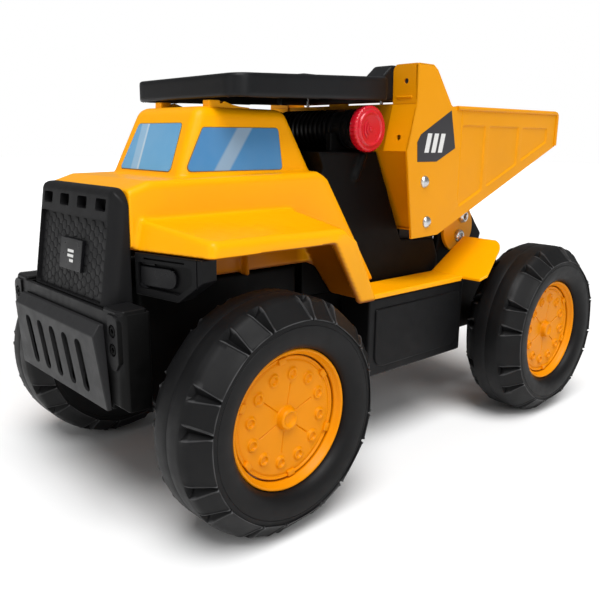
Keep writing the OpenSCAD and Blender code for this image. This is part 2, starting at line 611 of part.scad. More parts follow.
module disc_rear_right() wheel_at(rear_x, -1) wheel_disc();

// ---- screws that hold the side boxes and the cab to the chassis, from below -------------------------
module chassis_screws() color(STEEL) for (p = [[-80, deck_z], [60, deck_z], [120, skirt_z], [225, skirt_z]])
    both_sides() translate([p[0], 40, p[1] - 4]) mirror([0, 0, 1]) cylinder(d1 = 8, d2 = 5, h = 2.5);

chassis();
engine_body();
side_box_left();
side_box_right();
step_left();
step_right();
cab_body();
windshield();
side_window_left();
side_window_right();
grille();
grille_badge();
front_bumper();
skid_plate();
bumper_bolts();
headlight_left();
headlight_right();
lamp_lens_left();
lamp_lens_right();
air_tube();
tube_end_cap();
push_button();
button_spring();
button_switch();
canopy();
canopy_screws();
bed_side_left();
bed_side_right();
headboard();
bed_floor();
hinge_lug_left();
hinge_lug_right();
bed_rivets();
decal_left();
decal_right();
hinge_pin();
pin_caps();
bed_rest_pads();
axle_front();
axle_rear();
axle_washers();
axle_nuts();
tyre_front_left();
tyre_front_right();
tyre_rear_left();
tyre_rear_right();
rim_front_left();
rim_front_right();
rim_rear_left();
rim_rear_right();
disc_front_left();
disc_front_right();
disc_rear_left();
disc_rear_right();
chassis_screws();
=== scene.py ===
"""Push-along toy dump truck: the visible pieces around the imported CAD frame.

Lengths are in millimetres, in the CAD's frame (+X forward, +Y the truck's left, +Z up), and MM turns
them into metres when a mesh is made. Places in a material, the camera and the lights are in metres.
"""
import json
import math
from contextlib import contextmanager

import bmesh
import bpy
from mathutils import Matrix, Vector
from mathutils.geometry import delaunay_2d_cdt


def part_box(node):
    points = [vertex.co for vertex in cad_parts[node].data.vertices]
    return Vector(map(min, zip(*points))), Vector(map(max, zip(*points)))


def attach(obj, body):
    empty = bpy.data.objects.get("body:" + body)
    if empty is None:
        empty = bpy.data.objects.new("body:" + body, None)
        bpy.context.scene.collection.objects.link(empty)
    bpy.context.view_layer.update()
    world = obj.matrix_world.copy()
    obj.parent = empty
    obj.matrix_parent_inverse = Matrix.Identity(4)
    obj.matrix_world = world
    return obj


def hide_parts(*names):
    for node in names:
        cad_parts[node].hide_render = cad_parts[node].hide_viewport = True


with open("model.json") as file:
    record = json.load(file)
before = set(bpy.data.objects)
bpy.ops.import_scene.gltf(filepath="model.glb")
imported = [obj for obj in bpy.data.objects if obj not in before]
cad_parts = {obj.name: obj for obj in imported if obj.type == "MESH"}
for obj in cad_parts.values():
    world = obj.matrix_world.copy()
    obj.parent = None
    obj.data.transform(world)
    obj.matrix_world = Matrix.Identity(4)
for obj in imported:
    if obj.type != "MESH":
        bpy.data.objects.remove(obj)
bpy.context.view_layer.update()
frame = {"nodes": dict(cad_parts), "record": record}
MM = 0.001
ROOT = bpy.context.scene.collection


# ---- places read from the CAD frame ----
def span(node):
    """Lowest and highest corner of a CAD node, in millimetres."""
    low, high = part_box(node)
    return low / MM, high / MM


def middle(node):
    low, high = span(node)
    return (low + high) / 2


FRONT_AXLE, REAR_AXLE = middle("axle_front"), middle("axle_rear")
WHEEL_Y = middle("tyre_front_left").y
TYRE_LOW, TYRE_HIGH = span("tyre_front_left")
TYRE_R = (TYRE_HIGH.x - TYRE_LOW.x) / 2
TYRE_HALF = (TYRE_HIGH.y - TYRE_LOW.y) / 2
RIM_R = (span("rim_front_left")[1].x - span("rim_front_left")[0].x) / 2
RAIL_STANDS = 2.5        # how far the rail along the top of the bed stands out from its side
BED_Y = span("bed_side_left")[1].y - RAIL_STANDS     # outer face of the bed's side sheet
PIVOT = middle("hinge_pin")
TUBE = middle("air_tube")


# ---- materials ----
def srgb(text):
    """Linear colour of a hex code."""
    values = [int(text[i:i + 2], 16) / 255 for i in (0, 2, 4)]
    return [v / 12.92 if v <= 0.04045 else ((v + 0.055) / 1.055) ** 2.4 for v in values] + [1.0]


def scaled(colour, by):
    return [min(1.0, c * by) for c in colour[:3]] + [1.0]


class Nodes:
    """Short names for the shader nodes of one material."""
    SOCKETS = {"colour": "Base Color", "rough": "Roughness", "normal": "Normal", "metal": "Metallic",
               "gloss": "Specular IOR Level", "glow": "Emission Strength",
               "glow_colour": "Emission Color"}

    def __init__(self, name):
        self.material = bpy.data.materials.new(name)
        self.material.use_nodes = True
        self.tree = self.material.node_tree
        self.bsdf = self.tree.nodes["Principled BSDF"]
        self.spot = self.add("ShaderNodeTexCoord").outputs
        self.place = self.spot["Object"]

    def put(self, socket, value):
        """Links another node's output to socket, or sets it to a plain value."""
        if isinstance(value, bpy.types.NodeSocket):
            self.tree.links.new(value, socket)
        else:
            socket.default_value = value

    def add(self, kind, inputs=None, **settings):
        node = self.tree.nodes.new(kind)
        for key, value in settings.items():
            setattr(node, key, value)
        for key, value in (inputs or {}).items():
            self.put(node.inputs[key], value)
        return node

    def parts(self, which="Object"):
        """X, Y and Z of the place on the object, or of its "Normal"."""
        return self.add("ShaderNodeSeparateXYZ", {"Vector": self.spot[which]}).outputs

    def noise(self, per_metre, detail=3.0, roughness=0.5, stretch=None):
        vector = self.place
        if stretch:
            vector = self.add("ShaderNodeMapping", {"Vector": vector, "Scale": stretch}).outputs[0]
        return self.add("ShaderNodeTexNoise", {"Vector": vector, "Scale": per_metre, "Detail": detail,
                                               "Roughness": roughness}).outputs["Fac"]

    def between(self, fac, low, high, start=0.3, end=0.7):
        """fac from start to end turned into low to high."""
        return self.add("ShaderNodeMapRange", {
            "Value": fac, "From Min": start, "From Max": end, "To Min": low, "To Max": high}).outputs[0]

    def blend(self, fac, a, b):
        return self.add("ShaderNodeMix", {0: fac, 6: a, 7: b}, data_type="RGBA").outputs[2]

    def math(self, operation, a, b=0.0):
        return self.add("ShaderNodeMath", {0: a, 1: b}, operation=operation).outputs[0]

    def uneven(self, per_metre, detail, colour, low, high):
        """A colour in patches, from low to high times its brightness."""
        return self.blend(self.between(self.noise(per_metre, detail), 0.0, 1.0),
                          scaled(colour, low), scaled(colour, high))

    def bump(self, height, strength, distance, normal=None):
        inputs = {"Height": height, "Strength": strength, "Distance": distance}
        if normal:
            inputs["Normal"] = normal
        return self.add("ShaderNodeBump", inputs).outputs[0]

    def drive(self, **inputs):
        for key, value in inputs.items():
            self.put(self.bsdf.inputs[self.SOCKETS[key]], value)
        return self.material


def painted_shade_facing_down(n):
    """Painted shade on faces that look down, from where a little light still reaches them."""
    return n.between(n.parts("Normal")[2], 1.0, 0.0, -0.60, -0.25)


def painted_shadow_under_fender(n):
    """Painted shadow on the hood's side and its ribs, where the fender hangs over them."""
    at = n.parts()
    low = n.math("MULTIPLY", n.between(at[2], 1.0, 0.0, 0.203, 0.210),
                 n.between(n.math("ABSOLUTE", at[1]), 1.0, 0.0, 0.0735, 0.0780))
    return n.math("MULTIPLY", low, n.between(at[0], 0.0, 1.0, 0.090, 0.098))


def painted_shade_bumper_foot(n):
    """Painted shade on the bumper's ends and on its foot below the brackets."""
    return n.math("MAXIMUM", n.between(n.parts()[2], 1.0, 0.0, 0.126, 0.142),
                  n.between(n.math("ABSOLUTE", n.parts("Normal")[1]), 0.0, 1.0, 0.6, 0.9))


def moulded(name, colour, rough, grain, ripple, gloss, tint, shade=None, edge=None, deep=()):
    """Moulded plastic: slightly uneven colour and gloss, fine mould grain, and the slow ripple of a
    thin wall. shade mottles it, edge is a colour painted on its sharp crests as a painted highlight, and
    deep holds (where, colour) pairs of painted shade for the places that little light reaches. Colours
    are hex codes."""
    n = Nodes(name)
    colour = srgb(colour)
    base = n.uneven(14, 4.0, colour, 1 - tint, 1 + tint)
    if shade:
        base = n.blend(n.between(n.noise(55, 5.0, 0.6), 0.0, 0.5, 0.5, 0.75), base, srgb(shade))
    # painted highlight: a paler colour on sharp convex crests, where light catches them
    if edge:
        crest = n.add("ShaderNodeNewGeometry").outputs["Pointiness"]
        base = n.blend(n.between(crest, 0.0, 0.8, 0.53, 0.60), base, srgb(edge))
    # painted shade: a darker colour blended in wherever each mask says little light reaches
    for where, dark in deep:
        base = n.blend(where(n), base, srgb(dark))
    roughness = n.between(n.noise(90, 4.0), rough - 0.05, rough + 0.07)
    slow = n.bump(n.noise(24, 1.0), ripple, 0.0012)
    fine = n.bump(n.noise(2600, 2.0), grain, 0.00012, slow)
    return n.drive(colour=base, rough=roughness, normal=fine, gloss=gloss)


def painted(name, colour, rough):
    """Painted sheet steel: orange peel under a clear gloss, with faint dust."""
    n = Nodes(name)
    base = n.uneven(9, 3.0, colour, 0.96, 1.03)
    peel = n.bump(n.noise(420, 1.5), 0.10, 0.0002)
    roughness = n.between(n.noise(60, 4.0), rough - 0.04, rough + 0.06)
    return n.drive(colour=base, rough=roughness, normal=peel, gloss=0.16)


def plated(name, colour, rough):
    """Zinc plating: bright metal with cloudy patches and a fine turned grain."""
    n = Nodes(name)
    base = n.uneven(160, 4.0, colour, 0.82, 1.1)
    roughness = n.between(n.noise(300, 4.0), rough - 0.08, rough + 0.12)
    grain = n.bump(n.noise(900, 2.0, 0.6, (1.0, 1.0, 9.0)), 0.10, 0.0001)
    return n.drive(colour=base, rough=roughness, normal=grain, metal=1.0)


def window_film(name, along, colour, pale, lines):
    """Printed window film: blue that pales downwards, with slanted pale streaks. along is the axis in
    the window's plane (0 for X, 1 for Y), lines the streaks as (place, half width, lean, strength)."""
    n = Nodes(name)
    colour, pale, at = srgb(colour), srgb(pale), n.parts()
    across, up = at[along], at[2]
    low_z, high_z = 0.262, 0.297
    sky = n.between(up, 1.0, 0.0, low_z, high_z)
    base = n.blend(sky, colour, scaled(colour, 1.16))
    base = n.blend(n.between(n.noise(30, 3.0), 0.0, 0.10), base, pale)
    for place, half, lean, strength in lines:
        slanted = n.math("SUBTRACT", across, n.math("MULTIPLY", n.math("SUBTRACT", up, low_z), lean))
        away = n.math("ABSOLUTE", n.math("SUBTRACT", slanted, place))
        base = n.blend(n.between(away, strength, 0.0, half * 0.72, half), base, pale)
    roughness = n.between(n.noise(120, 3.0), 0.10, 0.20)
    peel = n.bump(n.noise(160, 1.0), 0.06, 0.0002)
    return n.drive(colour=base, rough=roughness, normal=peel, gloss=0.45)


def backdrop(name, colour):
    """Pale paper that brightens far from the truck, where it meets the white behind it."""
    n = Nodes(name)
    away = n.add("ShaderNodeVectorMath", {0: n.place}, operation="LENGTH").outputs["Value"]
    n.drive(glow=n.between(away, 0.0, 0.35, 0.9, 2.2), glow_colour=(1.0, 1.0, 1.0, 1.0))
    return n.drive(colour=n.uneven(1.5, 2.0, colour, 0.99, 1.0),
                   rough=n.between(n.noise(8, 2.0), 0.75, 0.85), gloss=0.1)


# colour, roughness, grain, ripple, gloss, tint
MOULDED = {
    "yellow_plastic": ("f8a800", 0.34, 0.10, 0.12, 0.15, 0.03),
    "yellow_wheel": ("e08900", 0.36, 0.06, 0.22, 0.13, 0.06),
    "black_plastic": ("0f0f10", 0.44, 0.16, 0.10, 0.13, 0.14),
    "bumper_black": ("151516", 0.44, 0.16, 0.10, 0.15, 0.14),
    "black_gloss": ("0b0b0c", 0.34, 0.08, 0.16, 0.34, 0.14),
    "grille_black": ("151516", 0.46, 0.20, 0.10, 0.16, 0.10),
    "canopy_black": ("131416", 0.38, 0.12, 0.14, 0.22, 0.12),
    "tyre": ("0e0e0f", 0.50, 0.22, 0.16, 0.19, 0.16),
    "red_plastic": ("c41226", 0.24, 0.05, 0.12, 0.55, 0.05),
    "dark_gloss": ("0e0e10", 0.30, 0.05, 0.08, 0.20, 0.08),
    "skid_black": ("262627", 0.46, 0.20, 0.10, 0.22, 0.10),
    # near black: painted shade behind the slots of the grille and the skid plate, and the bolts' own
    # dark colour
    "recess_black": ("050505", 0.6, 0.1, 0.05, 0.1, 0.2),
    "decal_film": ("28272a", 0.34, 0.03, 0.05, 0.45, 0.06),
    "decal_mark": ("d6d6d4", 0.36, 0.03, 0.05, 0.4, 0.03),
    # a darker copy of the black plastic for the engine body and chassis: painted shade
    "painted_shade_black": ("070707", 0.5, 0.14, 0.10, 0.09, 0.16),
    "soft_pad": ("121213", 0.7, 0.3, 0.1, 0.3, 0.1),
    "window_edge": ("7d6a3a", 0.4, 0.05, 0.05, 0.4, 0.1),
}
# painted shade under the fender and on downward faces of the yellow plastic, and on the bumper's foot
# and ends; on the tyre a random mottle, and a painted highlight on its sharp edges
EXTRAS = {
    "yellow_plastic": {"deep": [(painted_shadow_under_fender, "c87600"), (painted_shade_facing_down, "9a5200")]},
    "bumper_black": {"deep": [(painted_shade_bumper_foot, "020202")]},
    "tyre": {"shade": "151515", "edge": "666667"},
}
MATERIALS = {name: moulded(name, *look, **EXTRAS.get(name, {})) for name, look in MOULDED.items()}
MATERIALS.update(
    yellow_sheet=painted("yellow_sheet", srgb("e09300"), 0.40),
    zinc_steel=plated("zinc_steel", srgb("d2d3d4"), 0.26),
    side_film=window_film("side_film", 0, "427cae", "93aabd", [(0.1655, 0.0085, -0.80, 0.75)]),
    front_film=window_film("front_film", 1, "5c9ac6", "b4cbdb",
                           [(-0.0100, 0.0016, -0.16, 0.85), (-0.0155, 0.0060, -0.16, 0.40)]))
# the CAD's material slot for each look that isn't named after its slot
SLOTS = dict.fromkeys(("bumper_black", "grille_black", "canopy_black", "skid_black", "recess_black",
                       "painted_shade_black"), "black_plastic")
SLOTS.update(yellow_wheel="yellow_plastic", decal_mark="decal_film", window_edge="blue_window",
             side_film="blue_window", front_film="blue_window")


# ---- mesh helpers ----
MIRROR_Y = Matrix.Scale(-1, 4, (0, 1, 0))
Y_FOR_Z = Matrix(((1, 0, 0), (0, 0, 1), (0, 1, 0))).to_4x4()     # stands what is drawn along Z along Y
VOXEL = 1.2
FEWEST_FACES = 4         # of a closed solid; fewer means that a boolean came out empty


def moved(x, y, z):
    return Matrix.Translation(Vector((x, y, z)) * MM)


def linked(name, data):
    obj = bpy.data.objects.new(name, data)
    ROOT.objects.link(obj)
    return obj


@contextmanager
def editing(mesh):
    """A mesh's points and faces, written back at the end."""
    bm = bmesh.new()
    bm.from_mesh(mesh)
    yield bm
    bm.to_mesh(mesh)
    bm.free()


def mesh_object(name, verts, faces):
    """An object in metres from points in millimetres."""
    mesh = bpy.data.meshes.new(name)
    mesh.from_pydata([Vector(v) * MM for v in verts], [], faces)
    mesh.validate()
    with editing(mesh) as bm:
        bmesh.ops.recalc_face_normals(bm, faces=bm.faces)
    return linked(name, mesh)


def evaluated(obj):
    """obj with its modifiers turned into plain mesh."""
    bpy.context.view_layer.update()
    graph = bpy.context.evaluated_depsgraph_get()
    mesh = bpy.data.meshes.new_from_object(obj.evaluated_get(graph), depsgraph=graph)
    old = obj.data
    obj.modifiers.clear()
    obj.data = mesh
    if old.users == 0:
        bpy.data.meshes.remove(old)
    return obj


def bevelled(obj, width, segments=3, angle=28):
    if width > 0:
        b = obj.modifiers.new("bevel", "BEVEL")
        b.width, b.segments, b.limit_method = width * MM, segments, "ANGLE"
        b.angle_limit, b.use_clamp_overlap = math.radians(angle), True
        evaluated(obj)
    return obj


PLANES = {"x": lambda a, b, t: (t, a, b), "y": lambda a, b, t: (a, t, b), "z": lambda a, b, t: (a, b, t)}


def solid(low_ring, high_ring, bevel=0.0, segments=3):
    """A solid between two outlines with the same number of points, given in space."""
    n = len(low_ring)
    faces = [list(range(n)), list(range(n, 2 * n))[::-1]]
    faces += [(i, (i + 1) % n, n + (i + 1) % n, n + i) for i in range(n)]
    return bevelled(mesh_object("solid", low_ring + high_ring, faces), bevel, segments)


def prism(outline, axis, low, high, bevel=0.0, segments=3):
    """An outline across axis, drawn from low to high along it."""
    rings = [[PLANES[axis](a, b, t) for a, b in outline] for t in (low, high)]
    return solid(*rings, bevel, segments)


def rect(x0, y0, x1, y1):
    return [(x0, y0), (x1, y0), (x1, y1), (x0, y1)]


def block(low, high, bevel=0.0, segments=3):
    (x0, y0, z0), (x1, y1, z1) = low, high
    return prism(rect(x0, y0, x1, y1), "z", z0, z1, bevel, segments)


def polar(r, degrees):
    a = math.radians(degrees)
    return r * math.cos(a), r * math.sin(a)


def ring_points(cx, cy, r, start, end, steps):
    spots = (polar(r, start + (end - start) * i / steps) for i in range(steps + 1))
    return [(cx + x, cy + y) for x, y in spots]


def rounded(outline, radius, steps=5):
    """An outline with each corner rounded to radius, or to its own radius where radius is a list."""
    made = []
    n = len(outline)
    for i, corner in enumerate(outline):
        r = radius[i] if isinstance(radius, (list, tuple)) else radius
        p = Vector(corner)
        a = (Vector(outline[i - 1]) - p)
        b = (Vector(outline[(i + 1) % n]) - p)
        half = a.angle(b) / 2
        if r <= 0 or half > math.radians(88):
            made.append(tuple(corner))
            continue
        reach = min(r / math.tan(half), a.length * 0.48, b.length * 0.48)
        r = reach * math.tan(half)
        a.normalize()
        b.normalize()
        centre = p + (a + b).normalized() * (r / math.sin(half))
        start, end = p + a * reach - centre, p + b * reach - centre
        turn = math.atan2(start.x * end.y - start.y * end.x, start.dot(end))
        for k in range(steps + 1):
            spin = turn * k / steps
            c, s = math.cos(spin), math.sin(spin)
            made.append((centre.x + start.x * c - start.y * s, centre.y + start.x * s + start.y * c))
    return made


def rod(axis, centre, r, low, high, bevel=0.0, steps=40, r_high=None):
    """A cylinder or cone along axis. centre is its place in the two other axes."""
    turn = [2 * math.pi * i / steps for i in range(steps)]
    rings = [[PLANES[axis](centre[0] + q * math.cos(a), centre[1] + q * math.sin(a), t) for a in turn]
             for q, t in ((r, low), (r if r_high is None else r_high, high))]
    return solid(*rings, bevel)


def ring_faces(n, steps):
    """The faces between steps columns of n points each, set in a ring."""
    return [(k * n + i, k * n + (i + 1) % n, (k + 1) % steps * n + (i + 1) % n, (k + 1) % steps * n + i)
            for k in range(steps) for i in range(n)]


def lathe(profile, steps=96):
    """A closed profile of (radius, height) turned about Z."""
    verts = [(r * math.cos(2 * math.pi * k / steps), r * math.sin(2 * math.pi * k / steps), h)
             for k in range(steps) for r, h in profile]
    return mesh_object("lathe", verts, ring_faces(len(profile), steps))


def cad_copy(node):
    """A loose copy of a CAD node's mesh, with its doubled points merged."""
    obj = linked("copy_" + node, frame["nodes"][node].data.copy())
    with editing(obj.data) as bm:
        bmesh.ops.remove_doubles(bm, verts=bm.verts, dist=0.00001)
    return obj


def dissolved(obj):
    """Joins the coplanar triangles of a loose mesh."""
    with editing(obj.data) as bm:
        bmesh.ops.dissolve_limit(bm, angle_limit=math.radians(1.0), verts=bm.verts, edges=bm.edges)
    return obj


def joined(objs):
    """Several loose objects as one, without a boolean."""
    bm = bmesh.new()
    for o in objs:
        o.data.transform(o.matrix_world)
        bm.from_mesh(o.data)
    keep = objs[0]
    keep.matrix_world = Matrix.Identity(4)
    keep.data.clear_geometry()
    bm.to_mesh(keep.data)
    bm.free()
    discard(objs[1:])
    return keep


def discard(objs):
    for o in objs:
        mesh = o.data
        bpy.data.objects.remove(o)
        if mesh.users == 0:
            bpy.data.meshes.remove(mesh)


def combined(adds, cuts=()):
    """adds united into one solid, less the cuts."""
    base = adds[0]
    for operation, tools in (("UNION", list(adds[1:])), ("DIFFERENCE", list(cuts))):
        if not tools:
            continue
        group = bpy.data.collections.new("tools")
        for t in tools:
            group.objects.link(t)
        mod = base.modifiers.new(operation, "BOOLEAN")
        mod.operation, mod.operand_type, mod.solver = operation, "COLLECTION", "EXACT"
        mod.collection = group
        evaluated(base)
        bpy.data.collections.remove(group)
        discard(tools)
    return base


def kept_inside(body, keep):
    """The part of a loose solid that lies in another one."""
    mod = body.modifiers.new("keep", "BOOLEAN")
    mod.operation, mod.object, mod.solver = "INTERSECT", keep, "EXACT"
    evaluated(body)
    discard([keep])
    return body


def softened(obj, voxel, relax):
    """A solid as it leaves a mould: every edge and inner corner rounded a little."""
    m = obj.modifiers.new("remesh", "REMESH")
    m.mode, m.voxel_size, m.use_smooth_shade = "VOXEL", voxel * MM, True
    s = obj.modifiers.new("smooth", "SMOOTH")
    s.factor, s.iterations = 0.5, relax
    return evaluated(obj)


def smooth_faces(obj, angle=None):
    """Smooth shading, with edges sharper than angle kept."""
    for p in obj.data.polygons:
        p.use_smooth = True
    if angle is not None:
        with editing(obj.data) as bm:
            for e in bm.edges:
                e.smooth = len(e.link_faces) == 2 and e.calc_face_angle(0.0) < math.radians(angle)
    return obj


def weighted(obj):
    """Flat faces keep their own shading beside narrow bevels."""
    smooth_faces(obj, 40)
    w = obj.modifiers.new("normals", "WEIGHTED_NORMAL")
    w.mode, w.weight, w.keep_sharp = "FACE_AREA", 50, True
    return obj


def piece(obj, name, material, body="truck", replaces=()):
    """Names a finished mesh, gives it its material, and puts it on its CAD body."""
    if len(obj.data.polygons) < FEWEST_FACES:
        raise RuntimeError(name + " came out empty")
    obj.name = name
    obj.data.name = name
    obj.data.materials.clear()
    obj.data.materials.append(MATERIALS[material])
    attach(obj, body)
    if replaces:
        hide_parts(*replaces)


def shown(obj, node, material, body="truck"):
    """The visible piece in place of a CAD node."""
    piece(obj, "shown_" + node, material, body, [node])


def mirrored_copy(obj):
    """The same loose mesh on the truck's right side."""
    other = linked("mirror", obj.data.copy())
    other.data.transform(MIRROR_Y)
    other.data.flip_normals()
    return other


def both(make):
    """What make() gives for the left side, and its mirror image."""
    left = make()
    return [left, mirrored_copy(left)]


def sides(left):
    """A left-hand mesh and its mirror image, each with the name of its side."""
    return (left, "left"), (mirrored_copy(left), "right")


def on_side(obj, x, y, z, sign):
    """Stands a loose mesh drawn along Z outwards on one side of the truck."""
    obj.data.transform(Matrix.Rotation(math.radians(-90 * sign), 4, "X"))
    obj.data.transform(moved(x, sign * y, z))
    return obj


def tube(path, radius, steps, flat):
    """A round bar along a path in space, closed at both ends."""
    points = [Vector(p) for p in path]
    verts, faces = [], []
    for i, p in enumerate(points):
        along = (points[min(i + 1, len(points) - 1)] - points[max(i - 1, 0)]).normalized()
        across = Vector((0, 1, 0)) if abs(along.y) < 0.9 else Vector((0, 0, 1))
        up = across.cross(along).normalized()
        for k in range(steps):
            a = 2 * math.pi * k / steps
            verts.append(p + up * (radius * math.cos(a)) + across * (radius * flat * math.sin(a)))
    for i in range(len(points) - 1):
        for k in range(steps):
            m = (k + 1) % steps
            faces.append((i * steps + k, i * steps + m, (i + 1) * steps + m, (i + 1) * steps + k))
    faces += [list(range(steps))[::-1], [(len(points) - 1) * steps + k for k in range(steps)]]
    return smooth_faces(mesh_object("tube", verts, faces), 50)


def inset(outline, by):
    """A convex outline drawn in by a distance."""
    n = len(outline)
    middle_point = sum((Vector(p) for p in outline), Vector((0, 0))) / n
    lines = []
    for i in range(n):
        a, b = Vector(outline[i]), Vector(outline[(i + 1) % n])
        normal = Vector((-(b - a).y, (b - a).x)).normalized()
        if normal.dot(middle_point - a) < 0:
            normal = -normal
        lines.append((a + normal * by, b + normal * by))
    made = []
    for i in range(n):
        (a, b), (c, d) = lines[i - 1], lines[i]
        r, q = b - a, d - c
        cross = r.x * q.y - r.y * q.x
        t = ((c - a).x * q.y - (c - a).y * q.x) / cross
        made.append(tuple(a + r * t))
    return made


def in_plane(obj, origin, along, up, out):
    """Moves a loose mesh drawn in X (along), Y (out) and Z (up) onto a plane in space."""
    turn = Matrix((Vector(along), Vector(out), Vector(up))).transposed().to_4x4()
    obj.data.transform(moved(*origin) @ turn)
    if turn.to_3x3().determinant() < 0:
        obj.data.flip_normals()
    return obj


# ---- camera, lights and floor ----
def set_camera():
    camera = bpy.data.cameras.new("camera")
    camera.lens, camera.sensor_width = 41.04, 36.0
    camera.clip_start, camera.clip_end = 0.02, 60.0
    obj = linked("camera", camera)
    yaw, pitch, roll = (math.radians(a) for a in (-132.68, -13.18, 0.73))
    ahead = Vector((math.cos(yaw) * math.cos(pitch), math.sin(yaw) * math.cos(pitch), math.sin(pitch)))
    side = ahead.cross(Vector((0, 0, 1))).normalized()
    up = side.cross(ahead)
    right = side * math.cos(roll) + up * math.sin(roll)
    top = up * math.cos(roll) - side * math.sin(roll)
    turn = Matrix((right, top, -ahead)).transposed().to_4x4()
    obj.matrix_world = Matrix.Translation((0.4831, 0.4871, 0.2859)) @ turn
    bpy.context.scene.camera = obj


def lamp(name, kind, direction, power, place=(0, 0, 0), **settings):
    """A light at a place that shines in a direction."""
    light = bpy.data.lights.new(name, kind)
    light.energy = power
    for key, value in settings.items():
        setattr(light, key, value)
    obj = linked(name, light)
    obj.location = place
    obj.rotation_mode = "QUATERNION"
    obj.rotation_quaternion = Vector(direction).to_track_quat("-Z", "Y")


def set_studio():
    world = bpy.data.worlds.new("studio")
    world.use_nodes = True
    tree = world.node_tree
    sky = tree.nodes["Background"]
    sky.inputs[0].default_value = (1.0, 1.0, 1.0, 1.0)
    seen = tree.nodes.new("ShaderNodeLightPath").outputs["Is Camera Ray"]
    level = tree.nodes.new("ShaderNodeMapRange")
    tree.links.new(seen, level.inputs["Value"])
    level.inputs["To Min"].default_value, level.inputs["To Max"].default_value = 0.25, 1.0
    tree.links.new(level.outputs[0], sky.inputs[1])
    bpy.context.scene.world = world
    lamp("sun", "SUN", (-0.28, -0.39, -1.0), 2.95, angle=math.radians(38))
    for name, place, aim, size, power in (("key", (0.4, 1.7, 1.0), (0, 0, 0.15), 0.9, 7),
                                          ("front", (1.9, 0.1, 0.8), (0.1, 0, 0.15), 0.8, 1.6)):
        lamp(name, "AREA", Vector(aim) - Vector(place), power, place, shape="SQUARE", size=size)
    bpy.context.scene.view_settings.view_transform = "Standard"
    reach = 9000
    corners = [(x, y, 0) for x, y in rect(-reach, -reach, reach, reach)]
    floor = mesh_object("floor", corners, [(0, 1, 2, 3)])
    floor.data.materials.append(backdrop("floor_paper", (0.93, 0.93, 0.93, 1.0)))


set_camera()
set_studio()


# ---- tyres ----
LONG_NOTCH, SHORT_NOTCH, NOTCH_STEP = 9.0, 26.0, 45.0    # degrees, from +X towards +Z


def notch_angles():
    return sorted((start + NOTCH_STEP * k) % 360 for k in range(8)
                  for start in (LONG_NOTCH, SHORT_NOTCH))


def clamp(t):
    return max(0.0, min(1.0, t))


